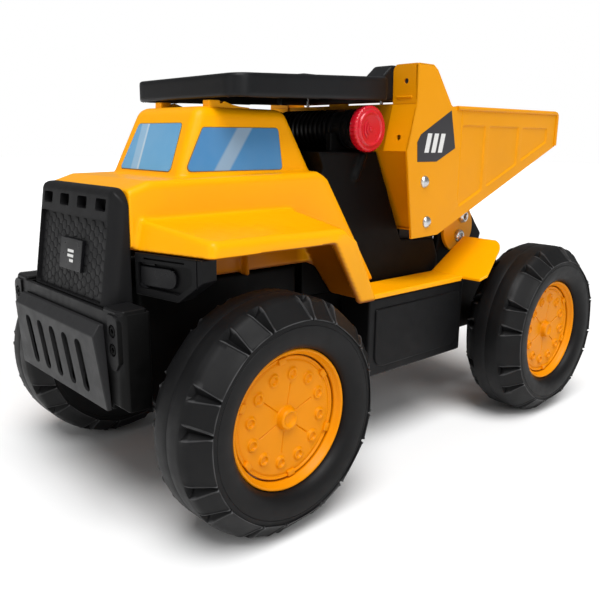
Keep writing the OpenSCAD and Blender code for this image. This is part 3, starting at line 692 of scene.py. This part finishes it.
def tyre_mesh():
    """Blow-moulded tyre with its axle along Z and its outer side up. The shoulders are flat facets that
    stand a step above the sidewall, and each notch between them is a V that opens towards the crown."""
    ring_r, bead = TYRE_R - 14.6, RIM_R + 0.4
    # radius, height, how flat the facet is there, and place along the notch (below 0 before it, above 1
    # after it)
    half = [(TYRE_R - drop, h, flat, along) for drop, h, flat, along in (
        (0, 0, 0, -1), (0, 1, 0, -1), (0, 6, 0, -1), (0, 11, 0, -1), (0.1, 13.6, 0.1, -1),
        (0.2, 14.1, 0.15, 0), (0.3, 15.4, 0.3, 0.04), (0.6, 17.2, 0.5, 0.1), (1.0, 18.6, 0.7, 0.14),
        (1.7, 20.0, 0.9, 0.2), (2.4, 20.8, 1.0, 0.23), (3.4, 21.8, 1.0, 0.3), (6.2, 24.3, 0.95, 0.48),
        (9.0, 26.8, 0.9, 0.66), (11.8, 29.3, 0.85, 0.84))]
    half += [(ring_r + out, TYRE_HALF - low, flat, along) for out, low, flat, along in (
        (1.4, 0.9, 0.8, 0.93), (0.6, 0.25, 0.7, 0.98), (0, 0.1, 0.6, 1.0), (-0.5, 0.7, 0.2, 1.5),
        (-0.8, 1.35, 0, 2), (-2.0, 1.3, 0, 2), (-3.8, 1.0, 0, 2), (-4.2, 1.3, 0, 2), (-4.6, 0.95, 0, 2),
        (-8.0, 0.8, 0, 2), (-12.0, 1.2, 0, 2))]
    half += [(bead + out, TYRE_HALF - low, 0, 2)
             for out, low in ((5.0, 2.4), (2.4, 4.6), (0.8, 6.6), (0, 9.0))]
    angles = notch_angles()
    # across a notch: (part of its half width, part of its depth, extra in mm, height of the lit lip)
    across = [(0.0, 1.0, 0.0, 0.0), (0.55, 0.52, 0.0, 0.0), (1.0, 0.0, 0.0, 0.50), (1.0, 0.0, 0.6, 0.50),
              (1.0, 0.0, 1.3, 0.0)]
    columns = []
    for i, start in enumerate(angles):
        end = angles[(i + 1) % len(angles)] + (360 if i == len(angles) - 1 else 0)
        for entry in across:
            columns.append((start, end, 1, entry, None))
        plain = 10 if end - start > 20 else 6
        for k in range(1, plain):
            columns.append((start, end, 0, None, k / plain))
        for entry in across[:0:-1]:
            columns.append((start, end, -1, entry, None))
    rows = [(r, h, f, t, 1) for r, h, f, t in half[::-1]] + [(r, h, f, t, -1) for r, h, f, t in half[1:]]
    verts = []
    for start, end, way, entry, part in columns:
        mid, reach = (start + end) / 2, (end - start) / 2
        for r, h, flat, along, side in rows:
            u = clamp(along)
            width = 5.6 - 4.2 * u
            depth = (6.6 - 4.4 * u) if 0.0 < along <= 1.0 else 0.0
            if along == 1.5:
                depth = 1.0
            edge = math.degrees((width + 1.3) / r)
            if way:
                share, deep, extra, lip = entry
                offset = math.degrees((width * share + extra) / r)
                a = start + offset if way > 0 else end - offset
                sink = depth * deep - (lip if depth > 0 else 0.0)
            else:
                a = start + edge + (end - start - 2 * edge) * part
                sink = 0.0
            facet = math.cos(math.radians(reach)) / math.cos(math.radians(a - mid))
            dip = r * (1 - facet) * flat * (0.95 - 0.35 * u) * (1.0 if reach > 10 else 1.15)
            lean = clamp((h - 15.0) / 7.0) * 0.72
            seam = 0.35 if h < 0.5 else 0.0
            rr = r - dip - sink * (1 - lean * 0.4) - seam
            hh = h - sink * lean - dip * 0.25 * u
            verts.append((*polar(rr, a), side * hh))
    n, steps = len(rows), len(columns)
    faces = [(k * n + i, k * n + i + 1, ((k + 1) % steps) * n + i + 1, ((k + 1) % steps) * n + i)
             for k in range(steps) for i in range(n - 1)]
    # inner wall, so that the tyre is a closed shell against the rim
    faces += [(k * n + n - 1, k * n, (k + 1) % steps * n, (k + 1) % steps * n + n - 1)
              for k in range(steps)]
    return smooth_faces(mesh_object("tyre", verts, faces), 32)


# ---- rims and wheel discs ----
DISC_H = 16.5        # outer face of the wheel disc, from the wheel's middle
DISC_R = RIM_R - 6.3


def rim_mesh():
    """Rim: a rounded lip proud of the tyre, a conical band and the seat behind it."""
    r, h, d = RIM_R, DISC_H, DISC_R
    profile = [(r - 2.5, -23), (r - 0.2, -23), (r, -22), (r, 21.0), (r - 0.1, 22.2), (r - 0.6, 23.0),
               (r - 1.4, 23.2), (r - 2.1, 22.9), (r - 2.7, 22.1), (r - 3.4, 20.6), (d + 2.0, 19.2),
               (d + 1.1, h + 2.0), (d + 0.9, h + 0.9), (d + 1.2, h + 0.4), (d + 1.2, h - 8),
               (d + 2.4, h - 8), (d + 2.6, h), (r - 2.5, h + 2.5)]
    return smooth_faces(lathe(profile, 160), 60)


def disc_mesh():
    """Wheel disc: shallow dish with a groove and six tabs at its edge, twelve cupped bosses, six thin
    radial creases and a raised hub."""
    edge, h = DISC_R, DISC_H
    border = [(0, -4), (0, 0.2), (-0.5, 0.7), (-1.6, 0.7), (-2.0, -0.8), (-3.0, -0.8), (-3.6, 0.2),
              (-7.0, 0.4)]
    plate = lathe([(0.01, h - 4)] + [(edge + x, h + z) for x, z in border] +
                  [(26, h + 0.2), (14, h - 0.2), (0.01, h - 0.2)], 120)
    hub = lathe([(r, h + z) for r, z in (
        (0.01, -3), (9.2, -3), (9.0, 0.4), (8.3, 2.6), (7.8, 4.4), (7.0, 5.2), (5.9, 5.5), (5.0, 4.6),
        (3.2, 3.4), (0.01, 3.2))], 64)
    bosses = [polar(RIM_R * 0.63, 30 * k + 9) for k in range(12)]
    raised = [rod("z", spot, 5.2, h - 2, h + 2.2, 0.0, 28, 4.3) for spot in bosses]
    dish = softened(combined([plate, hub] + raised), 0.6, 2)
    cuts = [rod("z", (x + 0.4, y), 2.2, h + 0.7, h + 4, 0.0, 24, 4.2) for x, y in bosses]
    tabs = []
    for k in range(6):
        tab = block((edge - 4.8, -3.4, h - 3), (edge - 0.2, 3.4, h + 2.0), 0.5, 2)
        crease = prism([(-1.5, h + 1.2), (1.5, h + 1.2), (0.0, h - 0.9)], "x", 9.6, 26.5)
        for obj, start, group in ((tab, 24, tabs), (crease, 39, cuts)):
            obj.data.transform(Matrix.Rotation(math.radians(60 * k + start), 4, "Z"))
            group.append(obj)
    dish = combined([dish] + tabs, cuts)
    barrel = rod("z", (0, 0), 9, span("disc_front_left")[0].y - WHEEL_Y, h - 3.2, 0.8, 40)
    skirt = lathe(rect(edge - 2, h - 8, edge, h - 3.6), 96)
    return smooth_faces(joined([dish, barrel, skirt]), 48)


def wheels():
    made = [("tyre", tyre_mesh(), "tyre"), ("rim", rim_mesh(), "yellow_wheel"),
            ("disc", disc_mesh(), "yellow_wheel")]
    for end, axle in (("front", FRONT_AXLE), ("rear", REAR_AXLE)):
        for side, sign in (("left", 1), ("right", -1)):
            # the wheel's Z becomes the truck's +Y on the left and -Y on the right
            turn = Y_FOR_Z if sign > 0 else MIRROR_Y @ Y_FOR_Z
            for kind, source, material in made:
                mesh = source.data.copy()
                mesh.transform(moved(axle.x, sign * WHEEL_Y, axle.z) @ turn)
                if sign > 0:
                    mesh.flip_normals()
                shown(linked(kind, mesh), f"{kind}_{end}_{side}", material, f"wheel_{end}_{side}")
    discard([source for _, source, _ in made])


wheels()


# ---- cab ----
HOOD_Y = 64.0
NOSE_X = 252.0
FENDER_FOOT = 209.0
LEAN_SIDE = 7 / 51       # how far the cab's side leans in for each millimetre up
LEAN_FRONT = 22.5 / 51
LEAN_REAR = 26 / 52


def side_at(z):
    """Half the greenhouse's width at a height."""
    return 53 - (z - 253) * LEAN_SIDE


def front_at(z):
    """Where the greenhouse's front is at a height."""
    return 206 - (z - 254) * LEAN_FRONT


def cabin(low_z, high_z, t, bevel):
    """The greenhouse between two heights, t inside its faces."""
    rings = []
    for z in (low_z, high_z):
        y, front, rear = side_at(z) - t, front_at(z) - t, 66 + (z - 254) * LEAN_REAR + t
        rings.append([(x, y, z) for x, y in rect(rear, -y, front, y)])
    return solid(*rings, bevel, 5)


def fender():
    """The front fender on the left: a hollow hood over the wheel with an open foot."""
    def shape(t, bottom, bevel):
        low = [(251 - t, 40), (251 - t, 64), (232 - t, 130 - t), (104 + t, 127 - t), (104 + t, 64),
               (104 + t, 40)]
        high = [(244 - t, 40, 233 - t), (244 - t, 64, 233 - t), (228.5 - t, 128.5 - t, 220.5 - t),
                (104 + t, 126.5 - t, 219.6 - t), (104 + t, 64, 230.6 - t), (104 + t, 40, 230.6 - t)]
        return solid([(x, y, bottom) for x, y in low], high, bevel, 4)

    return combined([shape(0, 198, 4.2)],
                    [shape(5.0, 190, 0), block((80, 30, 180), (300, 140, FENDER_FOOT))])


def leg():
    """The leg behind the front wheel on the left: an outer skin with a web along its rear edge."""
    outline = [(46, 152, 152, 112), (69, 152, 152, 112), (116, 209, 209, 127), (130, 209, 209, 127),
               (130, 227, 216, 126.6), (104, 231, 219.4, 126.6), (89, 209, 209, 127)]

    def shape(dx, dy, inner, bevel, drop):
        return solid([(x + dx, inner, low - drop) for x, low, _, _ in outline],
                     [(x + dx, y + dy, high - drop) for x, _, high, y in outline], bevel, 4)

    return combined([shape(0, 0, 61.5, 3.0, 0)], [shape(6.0, -5.0, 55, 0, 3.5)])


def cab():
    hood = prism([(264, 209), (264, 246.5), (250, 252), (235, 257), (72, 260), (61, 255), (-6, 155.2),
                  (20, 155.2), (84, 182), (236, 182), (240, 209)], "y", -HOOD_Y, HOOD_Y, 5.0, 4)
    adds = [hood, cabin(238, 310, 0, 7.5)] + both(fender) + both(leg)
    for x in (154, 203):
        adds += both(lambda: block((x, 63, 181.2), (x + 3, 72, 228), 0.6, 2))
    cuts = [block((NOSE_X, -80, 150), (300, 80, 300)),
            prism([(249.4, 100), (249.4, 246), (233, 252.5), (76, 255.8), (-40, 255.8), (-40, 100)],
                  "y", -61, 61),
            block((244, -56, 212), (256, 56, 247)), cabin(250, 304, 4.0, 0)]
    shell = softened(combined(adds, cuts), VOXEL, 6)
    # posts under the front of the canopy, each with a ridge that sweeps back over the roof
    post = [(128, 306), (128, 310.4), (138, 311.0), (146, 312.4), (151, 314.0), (153.5, 314.6),
            (155, 313.2), (157, 312.8), (157, 315.0), (167, 315.0), (167.6, 306)]
    posts = both(lambda: bevelled(prism(post, "y", 30.5, 39.5), 0.5, 2))
    shown(smooth_faces(shell), "cab_body", "yellow_plastic")
    piece(weighted(joined(posts)), "roof_posts", "yellow_plastic")


def window(node, outline, origin, along, up, out, material):
    """A thin printed panel with rounded corners on the cab, over a slightly larger darker backing."""
    backing = prism(rounded(inset(outline, -0.55), 3.4, 6), "y", -0.3, 0.18)
    film = prism(rounded(outline, 3.0, 6), "y", 0.0, 0.42, 0.1, 2)
    for obj in (backing, film):
        in_plane(obj, origin, along, up, out)
    piece(backing, "backing_" + node, "window_edge")
    shown(film, node, material)


def windows():
    """The side windows (drawn with X along and the leaning side up) and the windshield (Y along)."""
    side_sill, front_sill, proud = 262, 261.5, 0.12
    side_up = Vector((0, -LEAN_SIDE, 1)).normalized()
    front_up = Vector((-LEAN_FRONT, 0, 1)).normalized()
    side_tall, front_tall = 1 / side_up.z, 1 / front_up.z
    side = [(104, 0), (198.2, 0), (179.2, 32 * side_tall), (105, 32.8 * side_tall)]
    front = [(-37.6, 0), (37.6, 0), (31.8, 35.5 * front_tall), (-31.8, 35.5 * front_tall)]
    for label, sign in (("left", 1), ("right", -1)):
        up = Vector((side_up.x, sign * side_up.y, side_up.z))
        out = Vector((0, sign * side_up.z, -side_up.y))
        origin = (0, sign * (side_at(side_sill) + proud), side_sill)
        window("side_window_" + label, side, origin, (1, 0, 0), up, out, "side_film")
    window("windshield", front, (front_at(front_sill) + proud, 0, front_sill), (0, 1, 0), front_up,
           Vector((front_up.z, 0, -front_up.x)), "front_film")


# ---- grille ----
GRILLE_X = 273.5         # front face of the grille at its foot
GRILLE_TILT = math.radians(8.5)
SUNK = 3.4               # depth of the grille's panel


def tilted(obj):
    """Leans a loose mesh back with the grille, about its foot."""
    foot = GRILLE_X, 0, 170
    turn = Matrix.Rotation(-GRILLE_TILT, 4, "Y")
    obj.data.transform(moved(*foot) @ turn @ moved(*(-c for c in foot)))
    return obj


def hexagons(low_y, high_y, low_z, high_z, size, x):
    """Raised six-sided studs with flat tops, in staggered columns over a panel that faces +X."""
    verts, faces = [], []
    column, y = 0, low_y + size * 1.1
    while y < high_y - size:
        z = low_z + size * (1.0 if column % 2 else 1.0 + 0.866)
        while z < high_z - size * 0.9:
            base = len(verts)
            for r, out in ((size * 0.97, 0.0), (size * 0.82, 0.40), (size * 0.55, 0.52)):
                for dy, dz in (polar(r, 60 * k) for k in range(6)):
                    verts.append((x + out, y + dy, z + dz))
            for low in (base, base + 6):
                for k in range(6):
                    m = (k + 1) % 6
                    faces.append((low + k, low + m, low + 6 + m, low + 6 + k))
            faces += [[base + 12 + k for k in range(6)], [base + k for k in range(6)][::-1]]
            z += size * 1.732
        y += size * 1.5
        column += 1
    return mesh_object("hexagons", verts, faces)


def grille():
    plan = rounded(rect(236, -63.5, GRILLE_X, 63.5), [0, 10, 10, 0], 8)
    front = rounded(rect(-64, 170.6, 64, 252.4), [0.6, 0.6, 15, 15], 8)
    body = kept_inside(tilted(prism(plan, "z", 158, 254.5, 7.0, 5)), prism(front, "x", 200, 300))
    hollow = tilted(prism(rounded(rect(230, -60, GRILLE_X - 6.0, 60), [0, 7, 7, 0], 6), "z", 150, 246.5))
    body = softened(combined([body], [block((200, -80, 150), (NOSE_X + 0.2, 80, 300)), hollow]),
                    VOXEL * 0.8, 4)
    cuts = [prism(rounded(rect(y - 7.6, 236, y + 7.6, 244.6), 1.4, 4), "x", 245, 290)
            for y in (-43.5, -14.5, 14.5, 43.5)]
    panel = prism(rounded(rect(-55.5, 173, 55.5, 231), 2.5, 4), "x", GRILLE_X - SUNK, GRILLE_X + 20)
    body = combined([body], cuts + [tilted(panel)])
    shown(smooth_faces(body, 40), "grille", "grille_black")
    studs = tilted(hexagons(-55.5, 55.5, 172, 232, 4.4, GRILLE_X - SUNK - 0.05))
    piece(smooth_faces(studs, 25), "grille_studs", "grille_black")
    # painted shade: a near-black block inside the hood behind the grille's slots, standing in for the
    # shade of the hollow
    dark = block((247.5, -57, 205), (250.5, 57, 247), 0.5, 2)
    piece(dark, "grille_slot_shade", "recess_black")
    badge = tilted(block((GRILLE_X - SUNK, -16, 190), (GRILLE_X - 0.4, 20, 213.5), 0.5, 2))
    shown(weighted(badge), "grille_badge", "dark_gloss")
    marks = joined([tilted(block((GRILLE_X - 0.5, 7.0 - w, z), (GRILLE_X - 0.15, 7.0, z + 2.1), 0.1, 1))
                    for z, w in ((203.0, 9.6), (199.4, 9.6), (195.8, 6.0))])
    piece(marks, "badge_bars", "decal_mark")


# ---- bumper, skid plate, bolts and headlights ----
BUMPER_X = 277.0
BUMPER_Y = 90.0
BOLTS = [(y, z) for y in (81.5, -81.5) for z in (147.5, 160.5)]


def bumper():
    bar = prism(rounded(rect(254, -BUMPER_Y, BUMPER_X, BUMPER_Y), [2, 6, 6, 2], 5), "z", 103, 172)
    ledge = block((248.4, -50, 120), (256, 50, 160))
    # end brackets: a plate with a rounded top corner and a cut-off foot, carrying the bolts
    bracket = rounded([(74.5, 171.5), (74.5, 139), (78.5, 133), (84.5, 133), (88.5, 139), (88.5, 171.5)],
                      [1, 1.5, 2, 2, 2, 8], 6)
    pad = rounded([(256, 64.5), (256, 89.6), (274, 89.6), (277, 84), (277, 66)], 2.5, 4)
    slope = [(268, 100), (290, 100), (290, 118)]
    cuts = [block((250, -HOOD_Y, 169), (NOSE_X + 22, HOOD_Y, 190)),
            block((250, 3 - BUMPER_Y, 90), (BUMPER_X - 3, BUMPER_Y - 3, 166)),
            prism(slope, "y", -100, -75), prism(slope, "y", 75, 100)]
    body = bevelled(combined([bar, ledge], cuts), 1.5, 3)
    plates = both(lambda: prism(bracket, "x", 270, BUMPER_X + 1.6, 0.6, 2))
    plates += both(lambda: prism(pad, "z", 160, 174.6, 1.6, 3))
    wells = [rod("x", spot, 4.6, BUMPER_X - 0.2, 290, 0.0, 28) for spot in BOLTS]
    body = combined([body] + plates, wells)
    shown(weighted(body), "front_bumper", "bumper_black")
    bolts = [combined([rod("x", spot, 3.6, BUMPER_X - 0.3, BUMPER_X + 1.5, 0.5, 28)],
                      [rod("x", spot, 1.9, BUMPER_X + 0.4, BUMPER_X + 4, 0.0, 6)]) for spot in BOLTS]
    shown(weighted(joined(bolts)), "bumper_bolts", "recess_black")


def skid_plate():
    side = [(BUMPER_X + 0.3, 102), (281, 102), (286.5, 155), (281, 162.5), (BUMPER_X + 0.3, 162.5)]
    front = [(-74, 101), (-67.5, 163), (67.5, 163), (74, 101)]
    body = kept_inside(prism(side, "y", -74, 74), prism(front, "x", 200, 320))
    hollow = prism([(BUMPER_X - 3, 99), (BUMPER_X - 3, 150), (283.6, 150), (278.6, 99)], "y", -67, 67)
    body = bevelled(combined([body], [hollow]), 1.1, 3)
    slots, half, lean = [], 5.0, 2.2
    for y in (-44, -22, 0, 22, 44):
        path = [(y - half - lean, 148), (y + half - lean, 148),
                (y + half + lean, 109), (y - half + lean, 109)]
        slots.append(prism(rounded(path, 4.7, 6), "x", 276.0, 292.0))
    shown(weighted(combined([body], slots)), "skid_plate", "skid_black")
    # painted shade: a near-black sheet inside the skid plate behind its slots
    piece(block((BUMPER_X + 0.05, -66, 106), (BUMPER_X + 0.5, 66, 147)), "skid_slot_shade",
          "recess_black")


def headlights():
    """Housings under the front of the fenders, drawn in their own slanted plane and then moved there."""
    along = Vector((-16, 60, 0)).normalized()
    out = Vector((along.y, -along.x, 0))
    origin = (NOSE_X - 1.7, HOOD_Y + 0.2, 0)
    outline = [(0, 179), (0, 208.7), (61, 208.7), (61, 193), (39.5, 177.6)]

    def housing():
        body = prism(outline, "y", -16, 0, 1.1, 3)
        well = prism(rounded([(3.5, 184.5), (3.5, 202.5), (52.5, 202.5), (52.5, 191.5), (40.5, 183)],
                             [1, 1, 3, 2, 2], 4), "y", -4.2, 5)
        slit = prism([(9, 204.6), (9, 205.9), (46, 205.9), (46, 204.6)], "y", -2.2, 5)
        edge = prism([(56.4, 170), (56.4, 215), (57.3, 215), (57.3, 170)], "y", -0.9, 5)
        return combined([body], [well, slit, edge])

    def lens():
        pane = rounded([(4.2, 185.6), (4.2, 199.8), (37, 199.8), (37, 185.6)], [1, 1, 6.5, 6.5], 6)
        glass = prism(pane, "y", -4.0, -1.3, 0.7, 3)
        ledge = prism([(4.2, 200.4), (4.2, 202.0), (17, 202.0), (17, 200.4)], "y", -4.0, -2.4, 0.3, 2)
        foot = prism([(4.2, 184.6), (4.2, 187.6), (9, 185.8), (12, 184.6)], "y", -4.0, -0.6, 0.3, 2)
        return joined([glass, ledge, foot])

    left = (in_plane(weighted(obj), origin, along, (0, 0, 1), out) for obj in (housing(), lens()))
    for (body, label), (glass, _) in zip(*(sides(obj) for obj in left)):
        if label == "right":
            body, glass = weighted(body), weighted(glass)
        shown(body, "headlight_" + label, "black_plastic")
        shown(glass, "lamp_lens_" + label, "dark_gloss")


# ---- canopy ----
def canopy():
    front_x, rear_x, half, narrow = 168.5, -40.0, 74.0, 69.5

    def low(x):
        return 315.5 + (front_x - x) * 0.028

    def plan(t):
        left = [(rear_x + t, narrow - t), (t - 1, narrow - t), (t - 1, half - t)]
        left += ring_points(front_x - 16, half - 16, 16 - t, 90, 0, 8)
        return left + [(x, -y) for x, y in left[::-1]]

    def above(rear_z, front_z, high):
        outline = [(rear_x - 9, rear_z), (-1, rear_z), (front_x + 9, front_z), (front_x + 9, high),
                   (rear_x - 9, high)]
        return prism(outline, "y", -100, 100)

    bottom = [(rear_x - 9, low(rear_x - 9)), (front_x + 9, low(front_x + 9)), (front_x + 9, 250),
              (rear_x - 9, 250)]
    body = combined([prism(plan(0), "z", 290, 380)],
                    [above(341, 333, 420), prism(bottom, "y", -100, 100)])
    body = bevelled(body, 2.6, 3, 35)
    hump = [(rear_x, 330), (rear_x, 346), (-34, 352), (-11, 352), (4, 340), (4, 330)]
    adds = [body] + both(lambda: prism(hump, "y", 47, narrow, 1.8, 3))
    inner = combined([prism(plan(2.6), "z", 280, 345)], [above(338.2, 330.2, 400)])
    shell = combined(adds, [inner])
    feet = both(lambda: rod("z", (161, 35), 5.5, low(161) + 5, 331.5, 0.0, 24))
    bosses = both(lambda: rod("z", (-20, 50), 5.0, 328, 339.5, 0.0, 24))
    shell = softened(combined([shell] + feet + bosses), VOXEL, 3)
    shown(smooth_faces(shell), "canopy", "canopy_black", "bed")


# ---- bed ----
SHEET = 1.6
PRESSED = -1.6           # how far the bed's panels are pressed in
LUG_Y = 59.3             # outer face of the hinge lugs
LUG_NUT = (-149, 207.5)  # X and Z of the nut that holds each lug
EAR_HOLES = (289, 337.5)
EAR_TOP, EAR_FOOT = (-11.0, 318.0), (0.0, 277.0)


def ramp_z(x):
    """Height of the sloping floor of the bed."""
    return 201.3 + 82.2 * (-52 - x) / 209


def pressed_outlines():
    return [[(a, 302), (b, 302), (b, ramp_z(b) + 10), (a, ramp_z(a) + 10)]
            for a, b in ((-81.5, -121.5), (-127.0, -183.5), (-189.0, -242.5))]


def inside(point, outline):
    """Whether a point lies inside an outline."""
    hit = False
    for i, (ax, ay) in enumerate(outline):
        bx, by = outline[i - 1]
        if (ay > point.y) != (by > point.y) and point.x < (bx - ax) * (point.y - ay) / (by - ay) + ax:
            hit = not hit
    return hit


def side_sheet():
    """Side of the bed: sheet steel with three pressed panels and a crease in front of them."""
    outline = rounded([(-12, 199), (-51, 200), (-262, 282.8), (-262, 320), (-72, 318.4), (-63, 317.2),
                       (-38.5, 348), (-32, 352), (-10, 352), EAR_TOP, EAR_FOOT],
                      [1.5, 5, 2, 6, 2, 5, 4, 4, 1.5, 25, 6], 5)
    points, edges, height = [], [], []

    def draw(line, level, closed=True):
        base, n = len(points), len(line)
        points.extend(Vector(p) for p in line)
        height.extend([level] * n)
        edges.extend((base + i, base + (i + 1) % n) for i in range(n if closed else n - 1))

    draw(outline, 0.0)
    for panel in pressed_outlines():
        for by, part in ((0.0, 0.0), (0.5, 0.16), (1.0, 0.52), (1.5, 0.84), (2.0, 1.0)):
            draw(rounded(inset(panel, by), max(0.6, 3.0 - by), 3), PRESSED * part)
    for x, low, level in ((-79.3, 236.0, -0.55), (-80.3, 303.5, 0.0), (-78.3, 236.0, 0.0)):
        draw([(x, 317.0), (x, low)], level, False)
    found, _, tris, origin, _, _ = delaunay_2d_cdt(points, edges, [], 0, 0.0001, True)
    tris = [t for t in tris if inside(sum((found[i] for i in t), Vector((0, 0))) / 3, outline)]
    value = [max((height[o] for o in src), key=abs) if src else 0.0 for src in origin]
    n = len(found)
    outer = [(p.x, BED_Y + v, p.y) for p, v in zip(found, value)]
    inner = [(p.x, BED_Y + v - SHEET, p.y) for p, v in zip(found, value)]
    faces = [list(t) for t in tris] + [[n + i for i in t][::-1] for t in tris]
    used = {}
    for t in tris:
        for i, a in enumerate(t):
            b = t[(i + 1) % len(t)]
            used[(a, b)] = used.get((a, b), 0) + 1
    for a, b in used:
        if (b, a) not in used:
            faces.append((b, a, n + a, n + b))
    return mesh_object("sheet", outer + inner, faces)


def ear_flange():
    """Folded front of an ear, with its two holes, a dent line, and a slot at its outer corner."""
    upper = rounded([(71, 318), (71, 352), (99, 352), (99, 318)], [0, 6.5, 1.5, 0], 6)
    top = prism(upper, "x", -SHEET, 0.0, 0.45, 2)
    for v in top.data.vertices:
        v.co.x += (-10.0 - (352 - v.co.z / MM) / 34) * MM
    low = [EAR_TOP, EAR_FOOT, (EAR_FOOT[0] - SHEET, 276.6), (EAR_TOP[0] - SHEET, 317.8)]
    bottom = prism(low, "y", 71, 99, 0.45, 2)
    cap = block((-31, 73, 352 - SHEET), (-11.5, 99, 352), 0.45, 2)
    adds = [top, bottom, cap, rod("y", (-10.75, 324.0), 1.0, 76, 93, 0.3, 16)]
    cuts = [rod("x", (86, z), 2.5, -30, 10, 0.0, 32) for z in EAR_HOLES]
    cuts.append(block((-13.5, 96.7, 334), (0, 97.5, 360)))
    return combined(adds, cuts)


def bed_side():
    """Left side of the bed, as one loose mesh."""
    y = BED_Y + 0.2
    rail = [(-71, y, 316.4)] + [(x, y, 316.4 + (-71 - x) * 0.0077) for x in range(-90, -256, -15)]
    rail += [(-258.5, y, 317.3), (-260.2, y, 315.6), (-260.6, y, 313)]
    rail += [(-260.6, y, z) for z in (308, 300, 292, 283.2)]
    lip = prism([(0, 277), (-SHEET, 277), (-12 - SHEET, 199), (-12, 199)], "y", 96.6, 99, 0.45, 2)
    return joined([side_sheet(), ear_flange(), tube(rail, 2.1, 12, 0.9), lip])


def push_nut(x, sign, z):
    """Domed push nut on a hinge lug, open in the middle."""
    cap = [(2.6, 3.2), (3.2, 4.2), (4.6, 4.4), (5.9, 3.6), (6.7, 2.0), (6.9, 0.0), (4.2, 0.0),
           (4.2, 1.0), (2.6, 1.0)]
    return on_side(lathe(cap, 48), x, LUG_Y, z, sign)


def bed():
    for obj, label in sides(bed_side()):
        shown(weighted(obj), "bed_side_" + label, "yellow_sheet", "bed")
    for node in ("headboard", "bed_floor", "hinge_lug_left", "hinge_lug_right"):
        obj = bevelled(dissolved(cad_copy(node)), 0.5, 2)
        shown(weighted(obj), node, "yellow_sheet", "bed")
    # plain slanted bars on each decal, in place of any mark
    low, tall, bars = 276, 17.0, []
    for x in (-24.0, -34.0, -44.0):
        bar = [(x, low), (x - 6.2, low), (x - 10.4, low + tall), (x - 4.2, low + tall)]
        bars.append(prism(bar, "y", BED_Y + 0.25, BED_Y + 0.5))
    for obj, label in sides(joined(bars)):
        piece(obj, "decal_bars_" + label, "decal_mark", "bed")
    dome = [(0.01, 3.3), (2.0, 3.15), (3.7, 2.6), (5.0, 1.6), (5.6, 0.6), (5.6, 0.0), (0.01, 0.0)]
    rivets = [on_side(lathe(dome, 40), x, BED_Y, z, sign)
              for x, z in ((-27, 250), (-33, 213)) for sign in (1, -1)]
    rivets += [push_nut(LUG_NUT[0], sign, LUG_NUT[1]) for sign in (1, -1)]
    shown(smooth_faces(joined(rivets), 60), "bed_rivets", "zinc_steel", "bed")
    caps = [push_nut(PIVOT.x, sign, PIVOT.z) for sign in (1, -1)]
    shown(smooth_faces(joined(caps), 50), "pin_caps", "zinc_steel")


# ---- push button ----
def button():
    """Red cap with a knurled rim, and a raised ring and a plain sound sign on its face."""
    steps = 192
    face = span("push_button")[1].y
    profile = [(17.6, -9.0), (19.6, -9.0), (20.0, -8.4), (20.0, -3.2), (19.8, -2.4), (19.2, -1.6),
               (18.2, -1.2), (17.4, -1.2), (16.6, -1.5), (15.8, -1.5), (15.2, -0.6), (14.6, -0.1),
               (13.8, 0.0), (13.0, -0.3), (12.4, -0.9), (11.6, -1.1), (0.4, -1.1), (0.4, -4.0),
               (17.6, -4.0)]
    verts, n = [], len(profile)
    for k in range(steps):
        a = 2 * math.pi * k / steps
        for r, h in profile:
            groove = 0.5 * (0.5 + 0.5 * math.cos(a * 36)) if r > 18.5 and h < -1.4 else 0.0
            verts.append(((r - groove) * math.cos(a), (r - groove) * math.sin(a), h))
    cap = mesh_object("cap", verts, ring_faces(n, steps))
    sign = [rod("z", (0, 0), 2.2, -1.4, -0.3, 0.3, 24)]
    for r, low, high in ((5.2, 300, 420), (8.4, 305, 415)):
        ring = ring_points(0, 0, r + 0.8, low, high, 14) + ring_points(0, 0, r - 0.8, high, low, 14)
        sign.append(prism(ring, "z", -1.4, -0.35, 0.2, 2))
    stem = rod("z", (0, 0), 5.0, span("push_button")[0].y - face, -2.0, 0.0, 32)
    cap = joined([cap, stem] + sign)
    cap.data.transform(moved(TUBE.x, face, TUBE.z) @ Y_FOR_Z)
    cap.data.flip_normals()
    shown(smooth_faces(cap, 42), "push_button", "red_plastic", "button")


# ---- side boxes, and pieces that keep their CAD shape with softened edges ----
def side_boxes():
    low, high = span("side_box_left")
    body = prism(rect(low.x, low.z, high.x, high.z), "y", HOOD_Y, 99.0, 2.2, 3)
    panel = prism(rounded(rect(-92, 85, 34, 140), [12, 12, 3, 3], 6), "y", 96, 100.6, 1.4, 3)
    hollow = block((low.x + 3, HOOD_Y + 3, 60), (high.x - 3, 96, 140))
    for obj, label in sides(combined([body, panel], [hollow])):
        shown(weighted(obj), "side_box_" + label, "black_plastic")


def moulded_nodes():
    # the engine body and chassis take the darker black, painted shade for where they sit in shadow
    for node, material, voxel, relax in (("engine_body", "painted_shade_black", VOXEL, 5),
                                         ("chassis", "painted_shade_black", VOXEL * 1.3, 3),
                                         ("tube_end_cap", "black_plastic", VOXEL * 0.6, 2)):
        shown(softened(cad_copy(node), voxel, relax), node, material)
    for node in ("step_left", "step_right"):
        shown(weighted(bevelled(dissolved(cad_copy(node)), 0.9, 3)), node, "yellow_plastic")


for make in (cab, windows, grille, bumper, skid_plate, headlights, canopy, bed, button, side_boxes,
             moulded_nodes):
    make()


# ---- CAD nodes that stay as they are, with their own finish ----
for sub in frame["record"]["subparts"]:
    obj = frame["nodes"][sub["node"]]
    if obj.hide_render:
        continue
    look = MATERIALS["black_gloss" if sub["node"] == "air_tube" else sub["material_slot"]]
    if not obj.material_slots:
        obj.data.materials.append(look)
    for s in obj.material_slots:
        s.material = look
